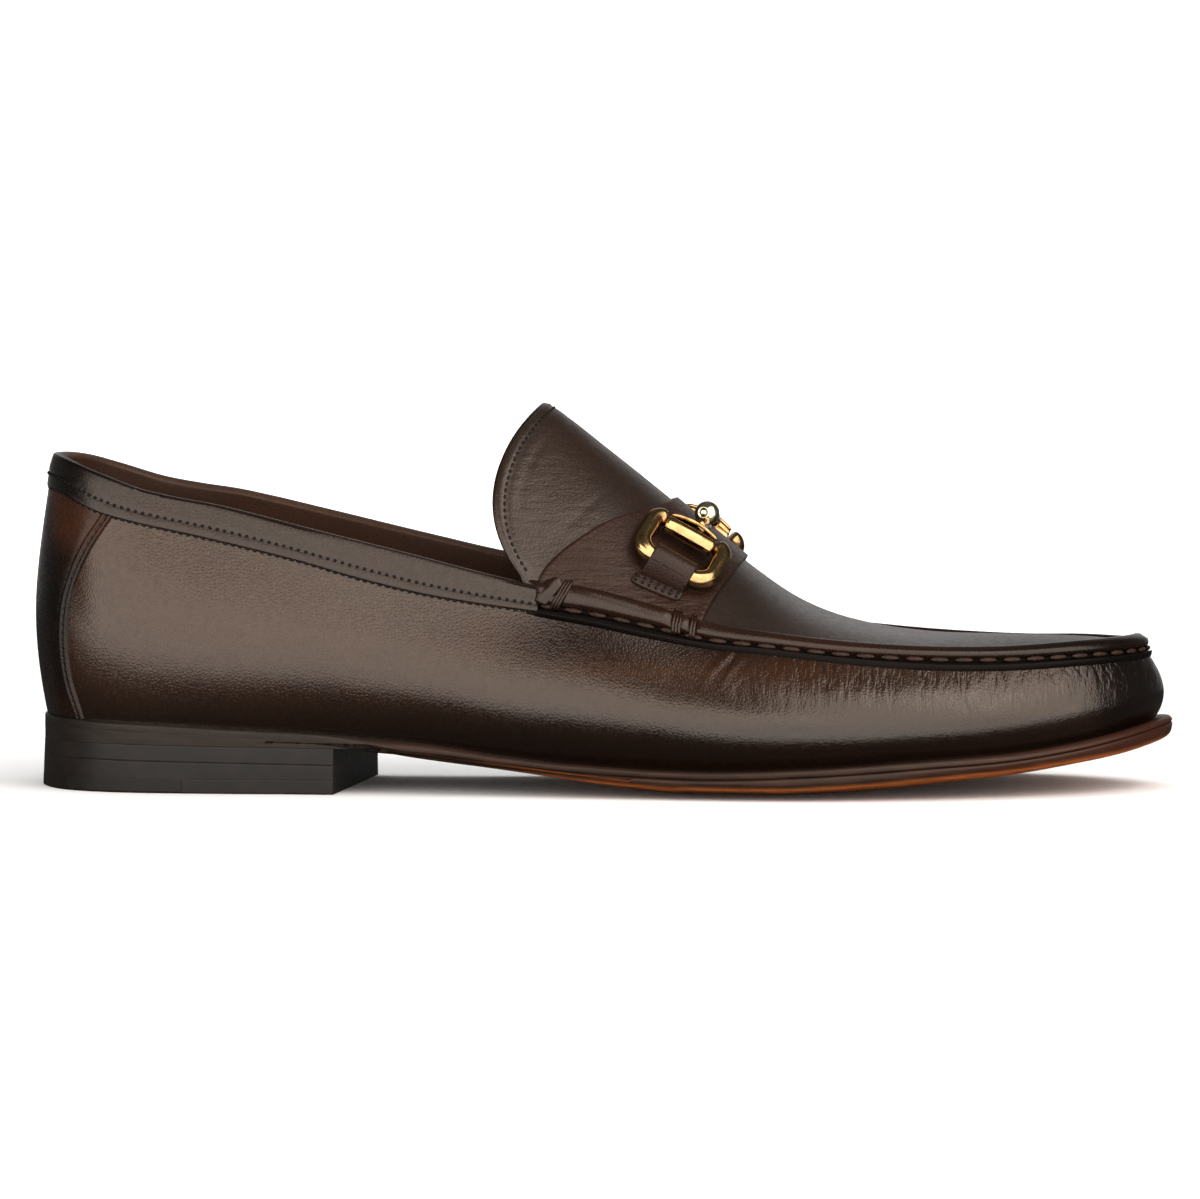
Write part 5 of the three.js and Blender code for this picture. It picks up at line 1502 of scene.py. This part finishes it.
# Bowed fin along the barrel's inner side, from whose middle the bar goes up to the ball
def barrel_fin(frame_of, side):
    u = np.linspace(-1, 1, 25)
    bow = 2.55 + 1.25 * (1 - np.abs(u) ** 2.0)
    rim = np.stack([u * BARREL_LENGTH / 2 * 0.98, -side * (BARREL_LINE + bow), 1.3 + 0.5 * (1 - u**2)], -1)
    foot = rim.copy()
    foot[:, 1] = -side * (BARREL_LINE + 0.6)
    foot[:, 2] = 0.1
    rows = np.stack([in_frame(frame_of, foot), in_frame(frame_of, rim - [0, 0, 0.5])], 1)
    under = rows - frame_of[3] * 0.5
    web = closed_sleeve(np.concatenate([rows, under[:, ::-1]], 1))
    width = 0.55 * np.clip(4.0 * (1 - np.abs(u)) + 0.45, 0.45, 1)
    return [tube_mesh(in_frame(frame_of, rim), width, 10, up=frame_of[3]), web]


# Shape turned about an axis, from distances along it and radii
def turned(centre, axis, profile, sides):
    path = [np.asarray(centre) + np.asarray(axis) * t for t, _ in profile]
    return tube_mesh(path, [r for _, r in profile], sides, up=ball_up)


# Ball with the rim of its hole, and the hole's place and way
def ball_parts():
    r = BALL_DIAMETER / 2
    profile = [(-r * math.cos(t), r * math.sin(t) + 0.01) for t in np.linspace(0, math.pi, 29)]
    sphere = turned(ball_seat, (0, 1, 0), profile, 36)
    towards = unit(np.array([-0.2, -0.95, 0.12]))
    across = unit(np.cross(towards, [0, 0, 1]))
    upright = np.cross(across, towards)
    angle = np.linspace(0, 2 * np.pi, 29)
    seat = ball_seat + towards * (r - 0.1)
    rim = [seat + (across * math.cos(t) + upright * math.sin(t)) * 1.4 for t in angle]
    return [sphere, tube_mesh(rim, 0.34, 10, up=towards)], seat, towards


# Bar from the fin's middle over the strap to the ball
BAR_HEIGHT = STRAP_TOP + GAP + 1.9


def bar_part(frame_of, side, medial):
    start = in_frame(frame_of, [[0.6, -side * (BARREL_LINE + 3.4), 0.9]])[0]
    shares = (0.76, 0.88, 0.98) if medial else (0.7, 0.73, 0.76)
    middle = [
        on_crown(start[0] + (BALL_CENTRE - start[0]) * (i + 1) / 4, medial, part, BAR_HEIGHT)[0]
        for i, part in enumerate(shares)
    ]
    path = smooth_path([start, *middle, ball_seat - ball_up * 1.2], 24)
    radius = 1.35 + 0.9 * np.exp(-((np.linspace(0, 1, 24) / 0.18) ** 2))
    return tube_mesh(path, radius, 14, up=ball_up)


# Columns over a keeper's width, as shares of it, from those of one half
def both_halves(outer_half, mirror):
    return np.array([*outer_half, *(mirror * value for value in outer_half[-2::-1])])


KEEPER_BORE = RING_WIRE / 2 * 0.86
KEEPER_OUTSIDE = KEEPER_BORE + KEEPER_THICKNESS
LOOP_START = 0.75


# Keeper: a loop of leather round the ring's outer bar, its edges trimmed round
def keeper_loop(frame_of, side):
    bar = side * (RING_WIDTH / 2 - BAR_INSET)
    angles = np.linspace(-LOOP_START, np.pi + 0.4, 26)
    widths = both_halves([-0.5, -0.495, -0.48, -0.45, -0.2, 0], -1) * KEEPER_WIDTH
    trims = both_halves([0.35, 0.18, 0.06, 0, 0, 0], 1)
    columns = []
    for w, trim in zip(widths, trims):
        out, bore = KEEPER_OUTSIDE - trim, KEEPER_BORE + trim * 0.3
        top = [(w, bar + side * out * math.cos(t), out * math.sin(t)) for t in angles]
        under = [(w, bar + side * bore * math.cos(t), KEEPER_BORE * math.sin(t)) for t in angles[::-1]]
        columns.append(in_frame(frame_of, top + under))
    return closed_sleeve(np.stack(columns))


# Block on the crown with an oblong outline, from layers with an inset and a height
def oblong(frame_of, side, medial, middle, length, breadth, power, layers):
    rings = []
    angle = np.linspace(0, 2 * np.pi, 65)[:-1]
    for inset, proud in layers:
        dx = np.sign(np.cos(angle)) * np.abs(np.cos(angle)) ** power * (length / 2 - inset)
        dy = np.sign(np.sin(angle)) * np.abs(np.sin(angle)) ** power * (breadth / 2 - inset)
        flat = np.stack([dx + middle[0], side * (middle[1] + dy), np.zeros(len(dx))], -1)
        rings.append(settle(in_frame(frame_of, flat), frame_of, medial, SADDLE_THICKNESS + proud))
    grid = np.stack(rings, 1)
    n, m = grid.shape[:2]
    faces = grid_faces(n, m, closed_rows=True)
    faces.append(tuple(i * m + m - 1 for i in range(n)))
    return list(grid.reshape(-1, 3)), faces


# Leather that comes down from the loop to the stitched tab
def keeper_slope(frame_of, side, medial):
    bar = RING_WIDTH / 2 - BAR_INSET
    widths = both_halves([-0.5, -0.495, -0.47, -0.2, 0], -1) * KEEPER_WIDTH
    sink = both_halves([0.4, 0.1, 0, 0, 0], 1)
    share = np.linspace(0, 1, 9)[:, None]
    columns = []
    for w, drop in zip(widths, sink):
        reach = KEEPER_OUTSIDE - drop
        top = in_frame(
            frame_of, [[w, side * (bar + reach * math.cos(LOOP_START)), reach * math.sin(LOOP_START)]]
        )
        flat = in_frame(frame_of, [[w, side * (bar + 3.9), 0.0]])
        foot = settle(flat, frame_of, medial, SADDLE_THICKNESS + 1.1 - drop)
        elbow = in_frame(frame_of, [[w, side * (bar + KEEPER_OUTSIDE + 0.4), 0.4 - drop]])
        upper = (1 - share) ** 2 * top + 2 * share * (1 - share) * elbow + share**2 * foot
        last_point = settle(flat, frame_of, medial, SADDLE_THICKNESS)
        under = upper[::-1] - frame_of[3] * KEEPER_THICKNESS
        columns.append(np.concatenate([upper, last_point, under[1:]]))
    return closed_sleeve(np.stack(columns))


TAB_LAYERS = ((-0.05, 0.1), (0.0, 0.6), (0.12, 0.9), (0.4, 1.05), (1.2, 1.1))
TAB_ROWS = (-0.2, 1.05)


# Tab that holds the keeper on the strap, and the lines of its stitches
def keeper_tab(frame_of, side, medial):
    middle = (-0.4, RING_WIDTH / 2 - BAR_INSET + 4.9)
    tab = oblong(frame_of, side, medial, middle, TAB_LENGTH, TAB_BREADTH, 0.45, TAB_LAYERS)
    stitches = []
    along_row = np.linspace(-TAB_LENGTH / 2 + 1.2, TAB_LENGTH / 2 - 1.2, 24) + middle[0]
    for row in TAB_ROWS:
        line = [(x, side * (middle[1] + row), 0) for x in along_row]
        stitches.append(settle(in_frame(frame_of, line), frame_of, medial, SADDLE_THICKNESS + 1.2))
    return tab, stitches


# Drops points along a frame's normal on to the last, then lifts them by a height
def settle(points, frame_of, medial, proud):
    place, v = from_side(points[:, 0], points[:, 2], medial)
    for _ in range(4):
        here = last(place, v)[0]
        normal = bearings(place, v)[0]
        drop = np.sum((here - points) * normal, axis=-1) / np.maximum(normal @ frame_of[3], 0.3)
        aim = points + frame_of[3] * drop[:, None]
        place, v = from_side(aim[:, 0], aim[:, 2], medial)
    return on_last(place, v, proud)


tab_rows = []
for word, side in (("lateral", -1), ("medial", 1)):
    medial = side > 0
    frame_of = ring_frame(medial)
    shapes(f"bit_ring_{word}", [bit_ring(frame_of, side)], antique_brass, [f"bit_ring_{word}"])
    shapes(
        f"mouthpiece_{word}",
        [barrel(frame_of, side), *barrel_fin(frame_of, side), bar_part(frame_of, side, medial)],
        antique_brass, [f"mouthpiece_{word}"],
    )
    tab, rows = keeper_tab(frame_of, side, medial)
    tab_rows += rows
    shapes(f"keeper_{word}", [keeper_loop(frame_of, side)], calf_keeper, [f"keeper_{word}"])
    shapes(f"keeper_tab_{word}", [tab, keeper_slope(frame_of, side, medial)], calf_keeper)
stitched("keeper_stitches", tab_rows, 1.7, 0.85, 0.85, thread_and_hole_shade)

ball, painted_hole_seat, hole_way = ball_parts()
shapes("mouthpiece_ball", ball, brass_painted_bright, ["mouthpiece_ball"])
# Black disc in the ball's hole: painted shade for its inside
shapes("ball_painted_hole", [turned(painted_hole_seat, hole_way, [(-0.2, 1.0), (0.02, 1.0)], 20)], thread_and_hole_shade)

# Floor sweeping up behind
SWEEP_START, SWEEP_RADIUS, SWEEP_HALF, SWEEP_TOP = 1.5, 1.2, 6.0, 6.0
sweep = [(-4.0, 0.0), (SWEEP_START, 0.0)]
for t in np.linspace(0.1, math.pi / 2, 12):
    sweep.append((SWEEP_START + SWEEP_RADIUS * math.sin(t), SWEEP_RADIUS - SWEEP_RADIUS * math.cos(t)))
sweep.append((SWEEP_START + SWEEP_RADIUS, SWEEP_TOP))
floor_mesh = bpy.data.meshes.new("floor")
floor_mesh.from_pydata(
    [(x, y, z) for y, z in sweep for x in (-SWEEP_HALF, SWEEP_HALF)], [],
    [(2 * i, 2 * i + 1, 2 * i + 3, 2 * i + 2) for i in range(len(sweep) - 1)],
)
floor_mesh.polygons.foreach_set("use_smooth", [True] * len(floor_mesh.polygons))
floor = add_object("floor", floor_mesh)
STRIP_GLOW = 3.0
BLACK, WHITE, PALE_GREY, DIM_GREY = ((c, c, c, 1) for c in (0, 1, 0.84, 0.1))


# Pale floor, white far off. Where leather reflects it, it is dark but for a glowing strip in front of the
# shoe and a soft glow on the backdrop: painted reflections, as the floor is no lamp
def floor_finish():
    material, net, shader = new_material("floor")
    point = net.node("ShaderNodeTexCoord", out=OBJECT_COORDINATES)
    distance = net.node("ShaderNodeVectorMath", {"operation": "LENGTH"}, {0: point}, out=1)
    x, y, z = (net.node("ShaderNodeSeparateXYZ", {}, {0: point}, out=k) for k in range(3))
    rays = net.node("ShaderNodeLightPath").socket.node.outputs
    by_camera, by_gloss = (Wire(net, rays[ray]) for ray in ("Is Camera Ray", "Is Glossy Ray"))
    strip_edge = y + net.ramp(x, -0.06, 0.05, 0.05, 0.0)
    ahead = net.ramp(strip_edge, -0.095, -0.08, STRIP_GLOW, 0.02)
    sideways = net.node("ShaderNodeMath", {"operation": "ABSOLUTE"}, {0: x})
    behind = net.ramp(y, 0.6, 1.6, 0.0, 0.6) * net.ramp(sideways, 0.4, 1.5, 1.0, 0.1)
    behind = behind * net.ramp(z, 1.0, 2.6, 1.0, 0.2)
    # Painted reflections: the strip and backdrop glow, and the floor's darkness, show only to glossy rays
    glow = net.ramp(distance, 0.35, 1.1) * by_camera + (ahead + behind) * by_gloss
    feed(
        net, shader, Base_Color=net.mix(by_gloss * 0.97, PALE_GREY, BLACK), Roughness=0.8,
        Emission_Color=net.mix(glow * (1 / STRIP_GLOW), BLACK, WHITE), Emission_Strength=STRIP_GLOW,
        Specular_IOR_Level=0.0,
    )
    return material


floor_mesh.materials.append(floor_finish())


def soft_light(name, location, target, size, power):
    light = bpy.data.lights.new(name, "AREA")
    light.shape = "RECTANGLE"
    light.size, light.size_y = size
    light.energy = power
    obj = add_object(name, light)
    obj.location = location
    obj.rotation_euler = (Vector(target) - Vector(location)).to_track_quat("-Z", "Y").to_euler()
    obj.visible_camera = False
    return obj


PANEL_DISTANCE, PANEL_RADIANCE, PANEL_COLOUR = 2.2, 3.4, (1.0, 0.95, 0.9)


# Soft panel facing the shoe, between two azimuths, from the floor up to an elevation
def panel(name, azimuths, top):
    middle, half = math.radians(sum(azimuths) / 2), math.radians((azimuths[1] - azimuths[0]) / 2)
    rise = math.radians(top / 2)
    flat = PANEL_DISTANCE * math.cos(rise)
    place = (flat * math.sin(middle), -flat * math.cos(middle), PANEL_DISTANCE * math.sin(rise))
    size = (2 * PANEL_DISTANCE * math.tan(half), 2 * PANEL_DISTANCE * math.tan(rise))
    light = soft_light(name, place, (0, 0, 0), size, PANEL_RADIANCE * math.pi * size[0] * size[1])
    light.data.color = PANEL_COLOUR


soft_light("top_softbox", (0.05, 0.3, 1.5), (0.05, 0, 0), (2.2, 1.0), 20).visible_glossy = False
panel("left_panel", (-62, 0), 31)
panel("front_panel", (0, 40), 56)
panel("right_panel", (40, 80), 60)
world = bpy.data.worlds.new("studio")
bpy.context.scene.world = world
world.use_nodes = True
studio = Net(world.node_tree)
background = world.node_tree.nodes["Background"]
seen = studio.node("ShaderNodeLightPath")
feed(studio, background, Color=studio.mix(seen, DIM_GREY, WHITE), Strength=1.0)
bpy.context.scene.view_settings.view_transform = "Standard"

# Camera at the photograph's angle
AZIMUTH, ELEVATION, ROLL = math.radians(5), math.radians(3.8), math.radians(-0.15)
DISTANCE, SCALE = 2800.0, 3.77
TARGET = np.array([150.0, 0.0, 45.0])
TARGET_PIXEL = (606.0, 615.91)
IMAGE_WIDTH, IMAGE_HEIGHT, SENSOR = 1200.0, 1199.0, 36.0
back = Vector((
    math.sin(AZIMUTH) * math.cos(ELEVATION), -math.cos(AZIMUTH) * math.cos(ELEVATION), math.sin(ELEVATION)
))
right = (-back).cross(Vector((0, 0, 1))).normalized()
up = right.cross(-back)
right, up = right * math.cos(ROLL) + up * math.sin(ROLL), up * math.cos(ROLL) - right * math.sin(ROLL)
camera_data = bpy.data.cameras.new("camera")
camera = add_object("camera", camera_data)
camera_data.sensor_width = SENSOR
camera_data.lens = SCALE * DISTANCE * SENSOR / IMAGE_WIDTH
camera_data.shift_x = -(TARGET_PIXEL[0] - IMAGE_WIDTH / 2) / IMAGE_WIDTH
camera_data.shift_y = (TARGET_PIXEL[1] - IMAGE_HEIGHT / 2) / IMAGE_WIDTH
camera_data.clip_end = 50
rotation = Matrix((right, up, back)).transposed().to_4x4()
place = Vector((TARGET + SHIFT) * MILLIMETRE) + back * DISTANCE * MILLIMETRE
camera.matrix_world = Matrix.Translation(place) @ rotation
bpy.context.scene.camera = camera
